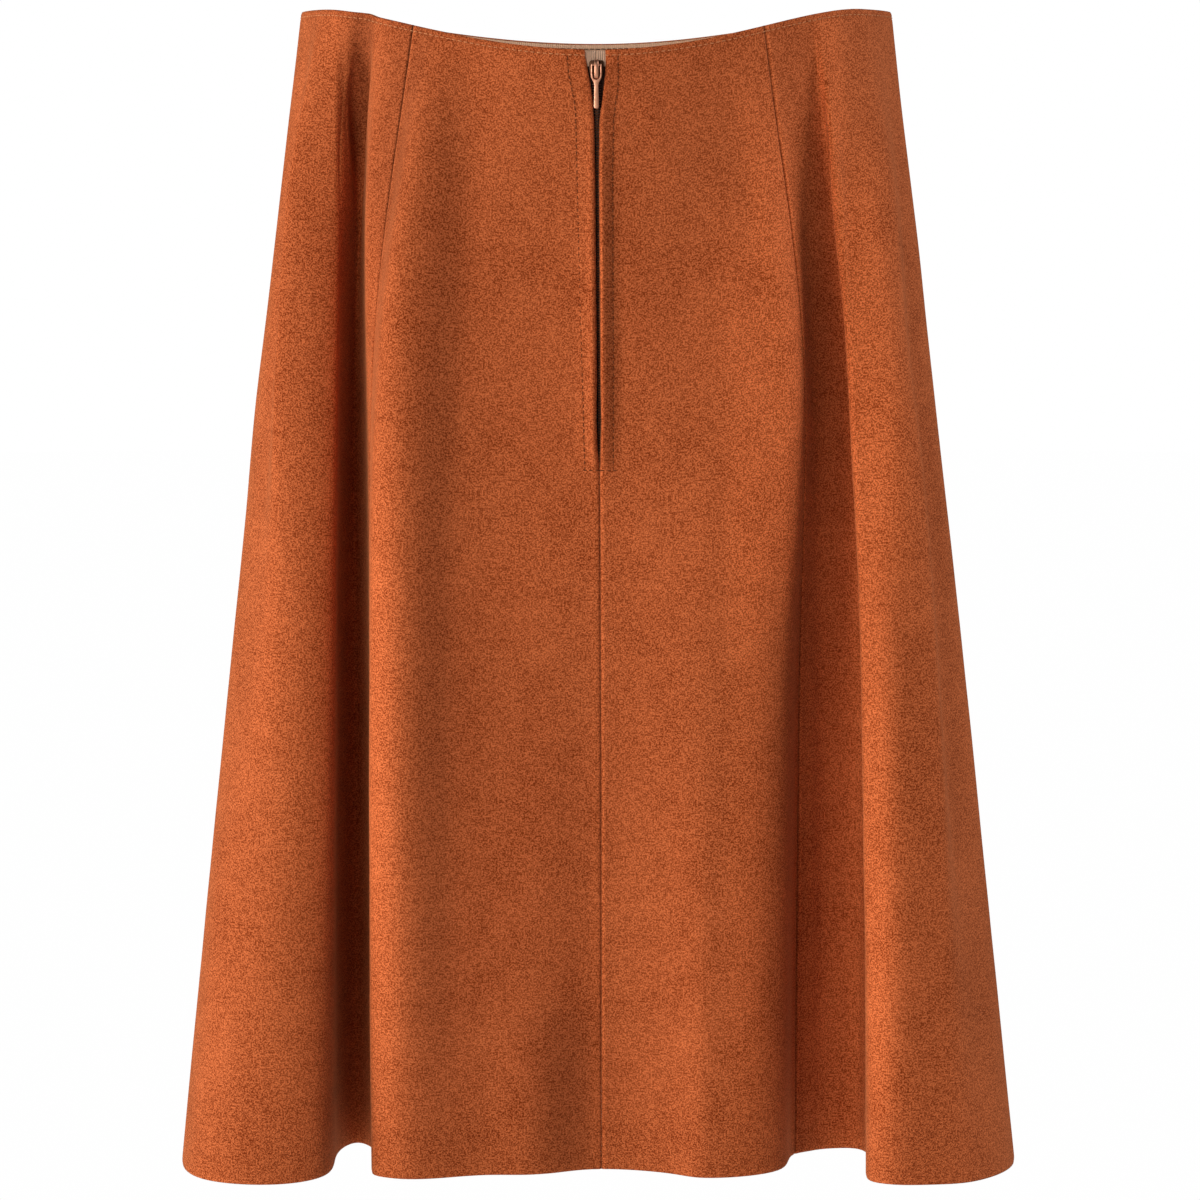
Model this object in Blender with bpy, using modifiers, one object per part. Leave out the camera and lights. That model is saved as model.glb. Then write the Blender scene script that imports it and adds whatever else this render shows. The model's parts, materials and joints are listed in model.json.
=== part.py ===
"""A-line skirt in suede, worn and filled out, with a centre back zip.

The waist ring is held by the wearer, so the origin is the centre of the waist.
The back faces -Y, the wearer's left is -X and the hem hangs down -Z.
"""
from collections import namedtuple
from math import atan2, cos, pi, radians, sin

import bmesh
import bpy
import numpy as np
from mathutils import Matrix

MM = 0.001

# Waist ring and length
WAIST_HALF_WIDTH = 0.1480
WAIST_HALF_DEPTH = 0.0980
RIM_AT_BACK = -0.0082
RIM_AT_FRONT = 0.0015
RIM_AT_SIDE = 0.0134
RIM_DIP_ANGLE_RIGHT = 62.0
RIM_DIP_ANGLE_LEFT = 67.0
HEM_HEIGHT = -0.5580
SEAT_FULLNESS = 0.085
BELLY_FULLNESS = 0.050

# Cloth and clearances
SUEDE_WALL = 0.0015
SEAM_GAP = 0.0003
FACING_WALL = 0.0010
FACING_GAP = 0.0008
FACING_CLEAR_OF_ZIP = 0.0175
LEAST_STRIP = 0.1

# Fold lines from waist to hem, going round from the centre back by the wearer's right.
# waist_deg: angle round the waist, 0 at the centre back, 90 at the wearer's right side
# hem_x, hem_y: where the line meets the hem, in mm
# spread, deepen: shares of the length over which it reaches that place
# steps: strips of cloth from this line to the next
Fold = namedtuple("Fold", "name waist_deg hem_x hem_y spread deepen steps")
FOLDS = (
    Fold("centre back seam", 0.0, 2.5, -84.5, 0.61, 3.99, 2),
    Fold("back right slope", 8.0, 37.5, -94.0, 0.79, 1.33, 2),
    Fold("back right crest", 18.0, 53.5, -102.0, 0.35, 2.56, 3),
    Fold("back right turn", 25.5, 90.0, -87.0, 0.28, 0.38, 3),
    Fold("back right seam", 33.1, 100.0, -53.5, 0.27, 0.93, 3),
    Fold("right valley", 40.5, 120.5, -42.0, 0.6, 0.66, 3),
    Fold("right valley end", 44.5, 133.0, -44.5, 0.36, 0.34, 3),
    Fold("right roll flank", 47.0, 135.5, -77.0, 0.5, 1.1, 3),
    Fold("right roll edge", 51.0, 136.0, -109.5, 0.62, 1.3, 3),
    Fold("right roll crest", 61.0, 170.5, -114.0, 0.6, 0.99, 2),
    Fold("right roll shoulder", 71.0, 189.0, -105.5, 1.54, 1.68, 2),
    Fold("right side swell", 81.5, 208.5, -72.5, 3.2, 0.9, 2),
    Fold("right side seam", 92.0, 203.5, -4.0, 2.4, 1.28, 2),
    Fold("front right swell", 104.0, 198.0, 52.0, 2.0, 1.0, 2),
    Fold("front right roll", 119.0, 165.0, 101.0, 1.0, 0.9, 2),
    Fold("front right roll edge", 130.0, 140.0, 98.0, 0.8, 0.9, 2),
    Fold("front right valley", 138.0, 121.0, 66.0, 0.6, 1.1, 2),
    Fold("front right seam", 146.0, 101.0, 75.0, 0.5, 1.0, 2),
    Fold("front right crest", 157.0, 72.0, 116.0, 0.8, 0.9, 2),
    Fold("front hollow", 172.0, 24.0, 104.0, 1.2, 0.9, 2),
    Fold("front left crest", 191.0, -36.0, 119.0, 1.2, 0.9, 2),
    Fold("front left turn", 204.0, -78.0, 112.0, 0.8, 0.9, 2),
    Fold("front left seam", 213.0, -103.0, 82.0, 0.5, 1.0, 2),
    Fold("front left valley", 221.5, -124.0, 62.0, 0.6, 1.1, 2),
    Fold("front left roll edge", 230.0, -146.0, 94.0, 0.8, 0.9, 2),
    Fold("front left roll", 241.0, -170.0, 98.0, 1.0, 0.9, 2),
    Fold("front left swell", 256.0, -200.0, 48.0, 2.0, 1.0, 2),
    Fold("left side seam", 268.0, -206.0, -14.0, 2.39, 1.09, 2),
    Fold("left side swell", 279.0, -207.0, -71.0, 2.03, 0.87, 2),
    Fold("left roll shoulder", 289.5, -191.0, -106.0, 1.69, 2.0, 2),
    Fold("left roll crest", 295.5, -156.0, -114.5, 0.17, 2.35, 3),
    Fold("left roll edge", 300.5, -134.0, -98.0, 1.15, 1.04, 3),
    Fold("left roll flank", 303.5, -130.5, -66.0, 0.9, 1.1, 3),
    Fold("left recess far side", 307.0, -128.0, -41.0, 0.5, 0.26, 3),
    Fold("left recess", 310.5, -121.5, -30.5, 0.32, 0.17, 3),
    Fold("left recess near side", 314.5, -114.5, -40.0, 0.15, 0.32, 2),
    Fold("left recess upper edge", 318.5, -112.5, -52.0, 0.15, 0.8, 2),
    Fold("back left seam", 323.3, -111.5, -64.0, 0.27, 1.6, 2),
    Fold("back left edge", 327.5, -107.5, -95.0, 0.31, 0.14, 2),
    Fold("back left outer crest", 334.0, -83.0, -103.0, 0.39, 0.49, 2),
    Fold("back left hollow", 341.0, -58.5, -96.5, 0.45, 2.03, 2),
    Fold("back left inner crest", 350.5, -24.5, -91.5, 0.89, 0.32, 2),
)

# Sections where the cloth is lofted, as shares of the length from rim to hem
SECTIONS = (0.0, 0.012, 0.028, 0.046, 0.060, 0.11, 0.19, 0.28, 0.352, 0.368,
            0.48, 0.60, 0.73, 0.86, 1.0)
FACING_SECTIONS = SECTIONS[:5]

# Zip opening: share of the length and half the width of the gap there, in mm
ZipGap = namedtuple("ZipGap", "share half_width")
ZIP_GAPS = (
    ZipGap(0.000, 4.90),
    ZipGap(0.012, 4.75),
    ZipGap(0.028, 4.20),
    ZipGap(0.046, 2.60),
    ZipGap(0.060, 1.00),
    ZipGap(0.352, 0.90),
    ZipGap(0.368, 0.15),
    ZipGap(1.000, 0.15),
)

# Panels, each from one fold line round to the next that carries a seam
Panel = namedtuple("Panel", "name first last")
PANELS = (
    Panel("centre_back_right", "centre back seam", "back right seam"),
    Panel("side_back_right", "back right seam", "right side seam"),
    Panel("side_front_right", "right side seam", "front right seam"),
    Panel("centre_front", "front right seam", "front left seam"),
    Panel("side_front_left", "front left seam", "left side seam"),
    Panel("side_back_left", "left side seam", "back left seam"),
    Panel("centre_back_left", "back left seam", "centre back seam"),
)

# Zip
TAPE_WALL = 0.0007
TAPE_INNER_EDGE = 0.00075
TAPE_OUTER_PLACE = 0.5
TAPE_TOP_SHARE = 0.006
TAPE_END_SHARE = 0.375
TAPE_DEPTH = SUEDE_WALL + SEAM_GAP
STOP_SIZE = (0.0050, 0.0009, 0.0024)
STOP_SHARE = 0.366

# Slider and its pull tab: widths across, lengths along the zip, heights out from the cloth
SLIDER_SHARE = 0.0172
PLATE_WIDTH = 0.0052
PLATE_LENGTH = 0.0086
PLATE_WALL = 0.0009
PLATE_TOP = -0.0006
NECK_WIDTH = 0.0008
NECK_LENGTH = 0.0022
NECK_ABOVE_MIDDLE = 0.0028
BRIDGE_WIDTH = 0.0023
BRIDGE_LENGTH = 0.0080
BRIDGE_WALL = 0.0009
BRIDGE_TOP = 0.0028
BRIDGE_CORNER = 0.0011
BRIDGE_INNER_CORNER = 0.0006
PIVOT_ABOVE_PLATE_MIDDLE = 0.0021
PIVOT_HEIGHT = 0.0011
TAB_THICKNESS = 0.0011
TAB_LOOP_WIDTH = 0.0054
TAB_LOOP_LENGTH = 0.0102
TAB_LEG = 0.00115
TAB_YOKE = 0.0027
TAB_STEM_WIDTH = 0.0024
TAB_LENGTH = 0.0213
TAB_CORNER = 0.0007
TAB_SHOULDER = 0.0026
TAB_ROUNDING = 0.00022
PLATE_ROUNDING = 0.00015
MERGE_DISTANCE = 0.00001
# Turns an outline drawn along and out from the zip into the slider's own axes
ALONG_ZIP = Matrix(((0.0, 0.0, 1.0, 0.0), (0.0, -1.0, 0.0, 0.0),
                    (1.0, 0.0, 0.0, 0.0), (0.0, 0.0, 0.0, 1.0)))

# Colours, linear
SUEDE_COLOUR = (0.36, 0.105, 0.032, 1.0)
FACING_COLOUR = (0.70, 0.37, 0.22, 1.0)
TAPE_COLOUR = (0.50, 0.30, 0.20, 1.0)
METAL_COLOUR = (0.86, 0.50, 0.34, 1.0)


def share_reached(share, reach):
    """Share of its way that a fold line has gone: it levels off past its reach."""
    def level(way):
        return way / (1.0 + way ** 4) ** 0.25
    return level(share / reach) / level(1.0 / reach)


def fold_points(share):
    """Where each fold line stands at one share of the length, seen from above."""
    points = []
    bulge = sin(pi * min(share / 0.75, 1.0)) ** 2
    for fold in FOLDS:
        angle = radians(fold.waist_deg)
        waist_x = WAIST_HALF_WIDTH * sin(angle)
        waist_y = -WAIST_HALF_DEPTH * cos(angle)
        x = waist_x + (fold.hem_x * MM - waist_x) * share_reached(share, fold.spread)
        y = waist_y + (fold.hem_y * MM - waist_y) * share_reached(share, fold.deepen)
        fullness = SEAT_FULLNESS if y < 0 else BELLY_FULLNESS
        points.append((x, y * (1.0 + fullness * bulge)))
    return np.array(points)


class Ring:
    """Smooth closed curve through the fold lines at one share of the length."""

    def __init__(self, share):
        points = fold_points(share)
        self.count = len(points)
        following = np.roll(points, -1, axis=0)
        self.spans = np.sqrt(np.hypot(*(following - points).T))
        before = np.roll(self.spans, 1)
        matrix = np.zeros((self.count, self.count))
        for i in range(self.count):
            matrix[i, i - 1] = before[i]
            matrix[i, i] = 2.0 * (before[i] + self.spans[i])
            matrix[i, (i + 1) % self.count] = self.spans[i]
        slopes = (following - points) / self.spans[:, None]
        bends = np.linalg.solve(matrix, 6.0 * (slopes - np.roll(slopes, 1, axis=0)))
        self.points = points
        self.following = following
        self.bends = bends
        self.next_bends = np.roll(bends, -1, axis=0)

    def at(self, place):
        """Point at a place counted in fold lines, such as 2.5 for half past the third."""
        index = int(np.floor(place)) % self.count
        part = place - np.floor(place)
        span = self.spans[index]
        start_part = 1.0 - part
        curve = self.bends[index] * (start_part ** 3 - start_part)
        curve = curve + self.next_bends[index] * (part ** 3 - part)
        straight = self.points[index] * start_part + self.following[index] * part
        return straight + curve * span * span / 6.0


RINGS = {}
PLACE_STEP = 0.002
SHARE_STEP = 0.002


def ring_at(share):
    """Ring at a share of the length, worked out once."""
    key = round(share, 6)
    if key not in RINGS:
        RINGS[key] = Ring(key)
    return RINGS[key]


def rim_height(place):
    """Height of the rim, which dips at the back and a little at the front."""
    x, y = ring_at(0.0).at(place)
    angle = abs(atan2(x / WAIST_HALF_WIDTH, abs(y) / WAIST_HALF_DEPTH))
    dip_angle = radians(RIM_DIP_ANGLE_RIGHT if x > 0 else RIM_DIP_ANGLE_LEFT)
    rise = sin(0.5 * pi * min(angle / dip_angle, 1.0)) ** 2
    lowest = RIM_AT_BACK if y < 0 else RIM_AT_FRONT
    return lowest + (RIM_AT_SIDE - lowest) * rise


def surface(place, share):
    """Point on the outside of the skirt."""
    x, y = ring_at(share).at(place)
    rim = rim_height(place)
    return np.array((x, y, rim + (HEM_HEIGHT - rim) * share))


def surface_frame(place, share):
    """Point on the outside, direction round the skirt, direction down and outward normal."""
    point = surface(place, share)
    around = surface(place + PLACE_STEP, share) - surface(place - PLACE_STEP, share)
    low = max(share - SHARE_STEP, 0.0)
    high = min(share + SHARE_STEP, 1.0)
    down = surface(place, high) - surface(place, low)
    around = around / np.linalg.norm(around)
    down = down / np.linalg.norm(down)
    out = np.cross(down, around)
    return point, around, down, out / np.linalg.norm(out)


def fold_index(name):
    """Number of a fold line in the table."""
    return [fold.name for fold in FOLDS].index(name)


def place_beyond(place, distance, share):
    """Place a distance further round the skirt, back if the distance is negative."""
    step = surface(place + PLACE_STEP, share) - surface(place - PLACE_STEP, share)
    return place + distance * 2.0 * PLACE_STEP / np.linalg.norm(step)


def zip_gap(share):
    """Half the width of the opening at the centre back."""
    shares = [gap.share for gap in ZIP_GAPS]
    widths = [gap.half_width * MM for gap in ZIP_GAPS]
    return float(np.interp(share, shares, widths))


def edge_gap(fold_name, share):
    """How far a panel's edge stays back from its seam line."""
    return zip_gap(share) if fold_name == "centre back seam" else SEAM_GAP / 2.0


def strip_places(first, last):
    """Places of the strips of cloth from one fold line to another."""
    places = []
    for index in range(first, last):
        steps = FOLDS[index % len(FOLDS)].steps
        places += [index + step / steps for step in range(steps)]
    return places + [last]


def panel_places(panel, share):
    """Places round the skirt of a panel's strips at one share of the length."""
    first = fold_index(panel.first)
    last = fold_index(panel.last)
    last = last if last > first else last + len(FOLDS)
    places = strip_places(first, last)
    low = place_beyond(first, edge_gap(panel.first, share), share)
    high = place_beyond(last, -edge_gap(panel.last, share), share)
    places = np.array(places, dtype=float)
    near_first = places < first + 1
    near_last = places > last - 1
    places[near_first] += (low - first) * (first + 1 - places[near_first])
    places[near_last] -= (last - high) * (places[near_last] - last + 1)
    return places


def plain_material(name, colour, roughness, metallic=0.0):
    """Material for one kind of stuff."""
    material = bpy.data.materials.new(name)
    material.use_nodes = True
    shader = material.node_tree.nodes["Principled BSDF"]
    shader.inputs["Base Color"].default_value = colour
    shader.inputs["Roughness"].default_value = roughness
    shader.inputs["Metallic"].default_value = metallic
    material.diffuse_color = colour
    return material


def link_object(name, data, material, collection):
    """Object for a mesh or a curve, in its collection."""
    thing = bpy.data.objects.new(name, data)
    data.materials.append(material)
    collection.objects.link(thing)
    return thing


def cloth_sheet(name, sections, places_at, depth, wall, material, collection):
    """Sheet lofted through its sections, its outer face a depth inside the skirt's."""
    mesh = bpy.data.meshes.new(name)
    work = bmesh.new()
    rows = []
    for share in sections:
        row = []
        for place in places_at(share):
            point, _, _, out = surface_frame(place, share)
            row.append(work.verts.new(point - out * depth))
        rows.append(row)
    for upper, lower in zip(rows, rows[1:]):
        for i in range(len(upper) - 1):
            work.faces.new((upper[i], lower[i], lower[i + 1], upper[i + 1]))
    work.to_mesh(mesh)
    work.free()
    sheet = link_object(name, mesh, material, collection)
    solidify = sheet.modifiers.new("wall", "SOLIDIFY")
    solidify.thickness = wall
    solidify.offset = -1.0
    solidify.use_even_offset = True
    solidify.use_quality_normals = True


def build_panels(material, collection):
    """The seven gores."""
    for panel in PANELS:
        def places_at(share, panel=panel):
            return panel_places(panel, share)
        cloth_sheet(panel.name, SECTIONS, places_at, 0.0, SUEDE_WALL, material, collection)


def build_facings(material, collection):
    """Strips inside the rim: one across the front and one on each side of the zip."""
    around = len(FOLDS)
    left = fold_index("left side seam")
    right = fold_index("right side seam")
    strips = (
        ("back_facing_right", 0, right, FACING_CLEAR_OF_ZIP, SEAM_GAP / 2.0),
        ("front_facing", right, left, SEAM_GAP / 2.0, SEAM_GAP / 2.0),
        ("back_facing_left", left, around, SEAM_GAP / 2.0, FACING_CLEAR_OF_ZIP),
    )
    for name, first, last, gap_first, gap_last in strips:
        def places_at(share, ends=(first, last, gap_first, gap_last)):
            low = place_beyond(ends[0], ends[2], share)
            high = place_beyond(ends[1], -ends[3], share)
            between = [place for place in strip_places(ends[0], ends[1])
                       if low + LEAST_STRIP < place < high - LEAST_STRIP]
            return [low] + between + [high]
        cloth_sheet(name, FACING_SECTIONS, places_at, SUEDE_WALL + FACING_GAP, FACING_WALL,
                    material, collection)


def build_tapes(material, collection):
    """The two zip tapes behind the opening."""
    between = [share for share in SECTIONS if TAPE_TOP_SHARE < share < TAPE_END_SHARE]
    sections = [TAPE_TOP_SHARE] + between + [TAPE_END_SHARE]
    for name, side in (("zip_tape_right", 1), ("zip_tape_left", -1)):
        def places_at(share, side=side):
            inner_edge = place_beyond(0, side * TAPE_INNER_EDGE, share)
            return [inner_edge, side * TAPE_OUTER_PLACE][::side]
        cloth_sheet(name, sections, places_at, TAPE_DEPTH, TAPE_WALL, material, collection)


def box(name, size, centre, material, collection):
    """Block with its size and centre in its own axes."""
    mesh = bpy.data.meshes.new(name)
    work = bmesh.new()
    bmesh.ops.create_cube(work, size=1.0)
    bmesh.ops.scale(work, vec=size, verts=work.verts)
    bmesh.ops.translate(work, vec=centre, verts=work.verts)
    work.to_mesh(mesh)
    work.free()
    return link_object(name, mesh, material, collection)


def flat_outline(name, outlines, thickness, material, collection):
    """Plate cut to an outline in its own x and y, with any further outlines as holes."""
    curve = bpy.data.curves.new(name, "CURVE")
    curve.dimensions = "2D"
    curve.fill_mode = "BOTH"
    curve.extrude = thickness / 2.0
    for outline in outlines:
        spline = curve.splines.new("POLY")
        spline.points.add(len(outline) - 1)
        for point, (x, y) in zip(spline.points, outline):
            point.co = (x, y, 0.0, 1.0)
        spline.use_cyclic_u = True
    return link_object(name, curve, material, collection)


def as_mesh(thing, material, collection):
    """Mesh object in place of a curve object, its caps joined to its sides."""
    graph = bpy.context.evaluated_depsgraph_get()
    mesh = bpy.data.meshes.new_from_object(thing.evaluated_get(graph))
    work = bmesh.new()
    work.from_mesh(mesh)
    bmesh.ops.remove_doubles(work, verts=work.verts, dist=MERGE_DISTANCE)
    work.to_mesh(mesh)
    work.free()
    name = thing.name
    place = thing.matrix_world.copy()
    bpy.data.objects.remove(thing, do_unlink=True)
    mesh.materials.clear()
    solid = link_object(name, mesh, material, collection)
    solid.matrix_world = place
    return solid


def rounded(thing, width):
    """Round a thing's sharp edges."""
    bevel = thing.modifiers.new("rounding", "BEVEL")
    bevel.width = width
    bevel.segments = 2
    bevel.limit_method = "ANGLE"
    bevel.angle_limit = radians(40.0)


def join(thing, other):
    """Join another solid to a thing."""
    boolean = thing.modifiers.new(other.name, "BOOLEAN")
    boolean.operation = "UNION"
    boolean.solver = "EXACT"
    boolean.object = other
    other.parent = thing


def mirrored_outline(half):
    """Whole outline from its half at +x, listed from top to bottom."""
    return half + [(-x, y) for x, y in reversed(half)]


def hang_on_zip(thing, height, share, turn=0.0):
    """Set a thing at a height above the centre back line, turned to lie along it."""
    point, _, down, out = surface_frame(0, share)
    middle = point + out * height
    lean = atan2(down[1], -down[2])
    thing.location = (point[0], middle[1], middle[2])
    thing.rotation_euler = (turn - lean, 0.0, 0.0)


def build_slider(material, collection, cutters):
    """Slider: two plates joined by a neck, with the bridge that holds the tab."""
    plate = (PLATE_WIDTH, PLATE_WALL, PLATE_LENGTH)
    upper_middle = PLATE_WALL / 2.0 - PLATE_TOP
    lower_middle = TAPE_DEPTH + TAPE_WALL + SEAM_GAP + PLATE_WALL / 2.0
    neck = (NECK_WIDTH, lower_middle - upper_middle, NECK_LENGTH)
    neck_centre = (0.0, (upper_middle + lower_middle) / 2.0, NECK_ABOVE_MIDDLE)
    slider = box("zip_slider", plate, (0.0, upper_middle, 0.0), material, collection)
    join(slider, box("slider_lower_plate", plate, (0.0, lower_middle, 0.0), material, cutters))
    join(slider, box("slider_neck", neck, neck_centre, material, cutters))
    foot = PLATE_TOP - PLATE_WALL / 2.0
    half = BRIDGE_LENGTH / 2.0
    hole = half - BRIDGE_WALL
    under = BRIDGE_TOP - BRIDGE_WALL
    staple = ((half, foot), (half, BRIDGE_TOP - BRIDGE_CORNER), (half - BRIDGE_CORNER, BRIDGE_TOP))
    window = ((hole, foot), (hole, under - BRIDGE_INNER_CORNER), (hole - BRIDGE_INNER_CORNER, under))
    outline = mirrored_outline(list(staple)) + mirrored_outline(list(window))[::-1]
    bridge = flat_outline("slider_bridge", [outline], BRIDGE_WIDTH, material, cutters)
    bridge.matrix_world = ALONG_ZIP
    join(slider, as_mesh(bridge, material, cutters))
    rounded(slider, PLATE_ROUNDING)
    hang_on_zip(slider, 0.0, SLIDER_SHARE)


def build_tab(material, collection):
    """Pull tab: a loop under the bridge and a flat stem, its origin on its axis."""
    top = TAB_THICKNESS / 2.0
    loop_half = TAB_LOOP_WIDTH / 2.0
    stem_half = TAB_STEM_WIDTH / 2.0
    loop_end = top - TAB_LOOP_LENGTH
    stem_end = top - TAB_LENGTH
    outer = [(loop_half - TAB_CORNER, top), (loop_half, top - TAB_CORNER),
             (loop_half, loop_end + TAB_SHOULDER), (stem_half, loop_end),
             (stem_half, stem_end + TAB_CORNER), (stem_half - TAB_CORNER, stem_end)]
    window_half = loop_half - TAB_LEG
    window_end = loop_end + TAB_YOKE
    window = [(window_half, top - TAB_THICKNESS), (window_half, window_end + TAB_SHOULDER / 2.0),
              (window_half - TAB_CORNER, window_end)]
    outlines = [mirrored_outline(outer), mirrored_outline(window)]
    tab = flat_outline("pull_tab", outlines, TAB_THICKNESS, material, collection)
    weld = tab.modifiers.new("caps", "WELD")
    weld.merge_threshold = MERGE_DISTANCE
    rounded(tab, TAB_ROUNDING)
    pivot_share = SLIDER_SHARE - PIVOT_ABOVE_PLATE_MIDDLE / (RIM_AT_BACK - HEM_HEIGHT)
    hang_on_zip(tab, PIVOT_HEIGHT, pivot_share, turn=pi / 2.0)


def build_stop(material, collection):
    """Bottom stop, clamped across the backs of the tapes."""
    depth = TAPE_DEPTH + TAPE_WALL + SEAM_GAP + STOP_SIZE[1] / 2.0
    stop = box("zip_bottom_stop", STOP_SIZE, (0.0, depth, 0.0), material, collection)
    rounded(stop, PLATE_ROUNDING)
    hang_on_zip(stop, 0.0, STOP_SHARE)


def new_collection(name):
    """Collection in the scene."""
    collection = bpy.data.collections.new(name)
    bpy.context.scene.collection.children.link(collection)
    return collection


def main():
    """Clear the scene and build the skirt."""
    for thing in list(bpy.data.objects):
        bpy.data.objects.remove(thing, do_unlink=True)
    skirt = new_collection("a_line_skirt")
    cutters = new_collection("cutters")
    suede = plain_material("suede", SUEDE_COLOUR, 0.92)
    facing = plain_material("facing_cloth", FACING_COLOUR, 0.7)
    tape = plain_material("zip_tape", TAPE_COLOUR, 0.8)
    metal = plain_material("copper_metal", METAL_COLOUR, 0.28, 1.0)
    build_panels(suede, skirt)
    build_facings(facing, skirt)
    build_tapes(tape, skirt)
    build_slider(metal, skirt, cutters)
    build_tab(metal, skirt)
    build_stop(metal, skirt)
    for cutter in cutters.objects:
        cutter.hide_render = True
        cutter.display_type = "WIRE"


main()
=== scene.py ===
"""A-line skirt in rust suede: its looks, laid out as an add-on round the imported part.

The back faces -Y, the wearer's left is -X and the hem hangs down -Z. Sizes are in metres
unless a name or a table's heading says mm.
"""

import json
from collections import namedtuple
from math import cos, pi, radians, sin

import bmesh
import bpy
import numpy as np
from bpy.props import FloatProperty, FloatVectorProperty, IntProperty, PointerProperty
from mathutils import Matrix, Vector, noise


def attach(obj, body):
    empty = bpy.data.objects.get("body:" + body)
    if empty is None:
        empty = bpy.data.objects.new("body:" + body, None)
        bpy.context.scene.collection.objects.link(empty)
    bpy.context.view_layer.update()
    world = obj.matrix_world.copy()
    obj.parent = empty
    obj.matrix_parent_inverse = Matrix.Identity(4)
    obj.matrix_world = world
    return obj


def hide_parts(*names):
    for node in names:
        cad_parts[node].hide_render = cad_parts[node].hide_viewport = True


bl_info = {
    "name": "A-line skirt",
    "version": (1, 0, 0),
    "blender": (4, 5, 0),
    "location": "3D View > Sidebar > Skirt",
    "description": "Builds a suede a-line skirt with a centre back zip",
    "category": "Object",
}

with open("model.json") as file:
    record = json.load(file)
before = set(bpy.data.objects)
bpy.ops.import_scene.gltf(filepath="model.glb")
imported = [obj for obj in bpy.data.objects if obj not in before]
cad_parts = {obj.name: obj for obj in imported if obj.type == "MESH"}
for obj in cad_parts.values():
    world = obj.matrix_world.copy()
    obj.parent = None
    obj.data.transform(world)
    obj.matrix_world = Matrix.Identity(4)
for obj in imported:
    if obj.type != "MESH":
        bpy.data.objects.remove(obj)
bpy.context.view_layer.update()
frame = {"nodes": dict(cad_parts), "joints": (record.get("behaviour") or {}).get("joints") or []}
PIVOT = Vector(frame["joints"][0]["pos_m"])

MM = 0.001

# The cut ---------------------------------------------------------------------------------

# Fold lines from waist to hem, going round from the centre back by the wearer's right.
# waist_deg: angle round the waist, 0 at the centre back, 90 at the wearer's right side
# hem_x, hem_y: where the line meets the hem, in mm
# spread, deepen: shares of the length over which it reaches that place
Fold = namedtuple("Fold", "name waist_deg hem_x hem_y spread deepen")
FOLDS = (
    Fold("centre back seam", 0.0, 2.5, -84.5, 0.61, 3.99),
    Fold("back right slope", 8.0, 37.5, -94.0, 0.79, 1.33),
    Fold("back right crest", 18.0, 53.5, -102.0, 0.35, 2.56),
    Fold("back right turn", 25.5, 90.0, -87.0, 0.28, 0.38),
    Fold("back right seam", 33.1, 100.0, -53.5, 0.27, 0.93),
    Fold("right valley", 40.5, 120.5, -42.0, 0.6, 0.66),
    Fold("right valley end", 44.5, 133.0, -44.5, 0.36, 0.34),
    Fold("right roll flank", 47.0, 135.5, -77.0, 0.5, 1.1),
    Fold("right roll edge", 51.0, 136.0, -109.5, 0.62, 1.3),
    Fold("right roll crest", 61.0, 170.5, -114.0, 0.6, 0.99),
    Fold("right roll shoulder", 71.0, 189.0, -105.5, 1.54, 1.68),
    Fold("right side swell", 81.5, 208.5, -72.5, 3.2, 0.9),
    Fold("right side seam", 92.0, 203.5, -4.0, 2.4, 1.28),
    Fold("front right swell", 104.0, 198.0, 52.0, 2.0, 1.0),
    Fold("front right roll", 119.0, 165.0, 101.0, 1.0, 0.9),
    Fold("front right roll edge", 130.0, 140.0, 98.0, 0.8, 0.9),
    Fold("front right valley", 138.0, 121.0, 66.0, 0.6, 1.1),
    Fold("front right seam", 146.0, 101.0, 75.0, 0.5, 1.0),
    Fold("front right crest", 157.0, 72.0, 116.0, 0.8, 0.9),
    Fold("front hollow", 172.0, 24.0, 104.0, 1.2, 0.9),
    Fold("front left crest", 191.0, -36.0, 119.0, 1.2, 0.9),
    Fold("front left turn", 204.0, -78.0, 112.0, 0.8, 0.9),
    Fold("front left seam", 213.0, -103.0, 82.0, 0.5, 1.0),
    Fold("front left valley", 221.5, -124.0, 62.0, 0.6, 1.1),
    Fold("front left roll edge", 230.0, -146.0, 94.0, 0.8, 0.9),
    Fold("front left roll", 241.0, -170.0, 98.0, 1.0, 0.9),
    Fold("front left swell", 256.0, -200.0, 48.0, 2.0, 1.0),
    Fold("left side seam", 268.0, -206.0, -14.0, 2.39, 1.09),
    Fold("left side swell", 279.0, -207.0, -71.0, 2.03, 0.87),
    Fold("left roll shoulder", 289.5, -191.0, -106.0, 1.69, 2.0),
    Fold("left roll crest", 295.5, -156.0, -114.5, 0.17, 2.35),
    Fold("left roll edge", 300.5, -134.0, -98.0, 1.15, 1.04),
    Fold("left roll flank", 303.5, -130.5, -66.0, 0.9, 1.1),
    Fold("left recess far side", 307.0, -128.0, -41.0, 0.5, 0.26),
    Fold("left recess", 310.5, -121.5, -30.5, 0.32, 0.17),
    Fold("left recess near side", 314.5, -114.5, -40.0, 0.15, 0.32),
    Fold("left recess upper edge", 318.5, -112.5, -52.0, 0.15, 0.8),
    Fold("back left seam", 323.3, -111.5, -64.0, 0.27, 1.6),
    Fold("back left edge", 327.5, -107.5, -95.0, 0.31, 0.14),
    Fold("back left outer crest", 334.0, -83.0, -103.0, 0.39, 0.49),
    Fold("back left hollow", 341.0, -58.5, -96.5, 0.45, 2.03),
    Fold("back left inner crest", 350.5, -24.5, -91.5, 0.89, 0.32),
)
FOLD_NAMES = [fold.name for fold in FOLDS]
AROUND = len(FOLDS)

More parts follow.
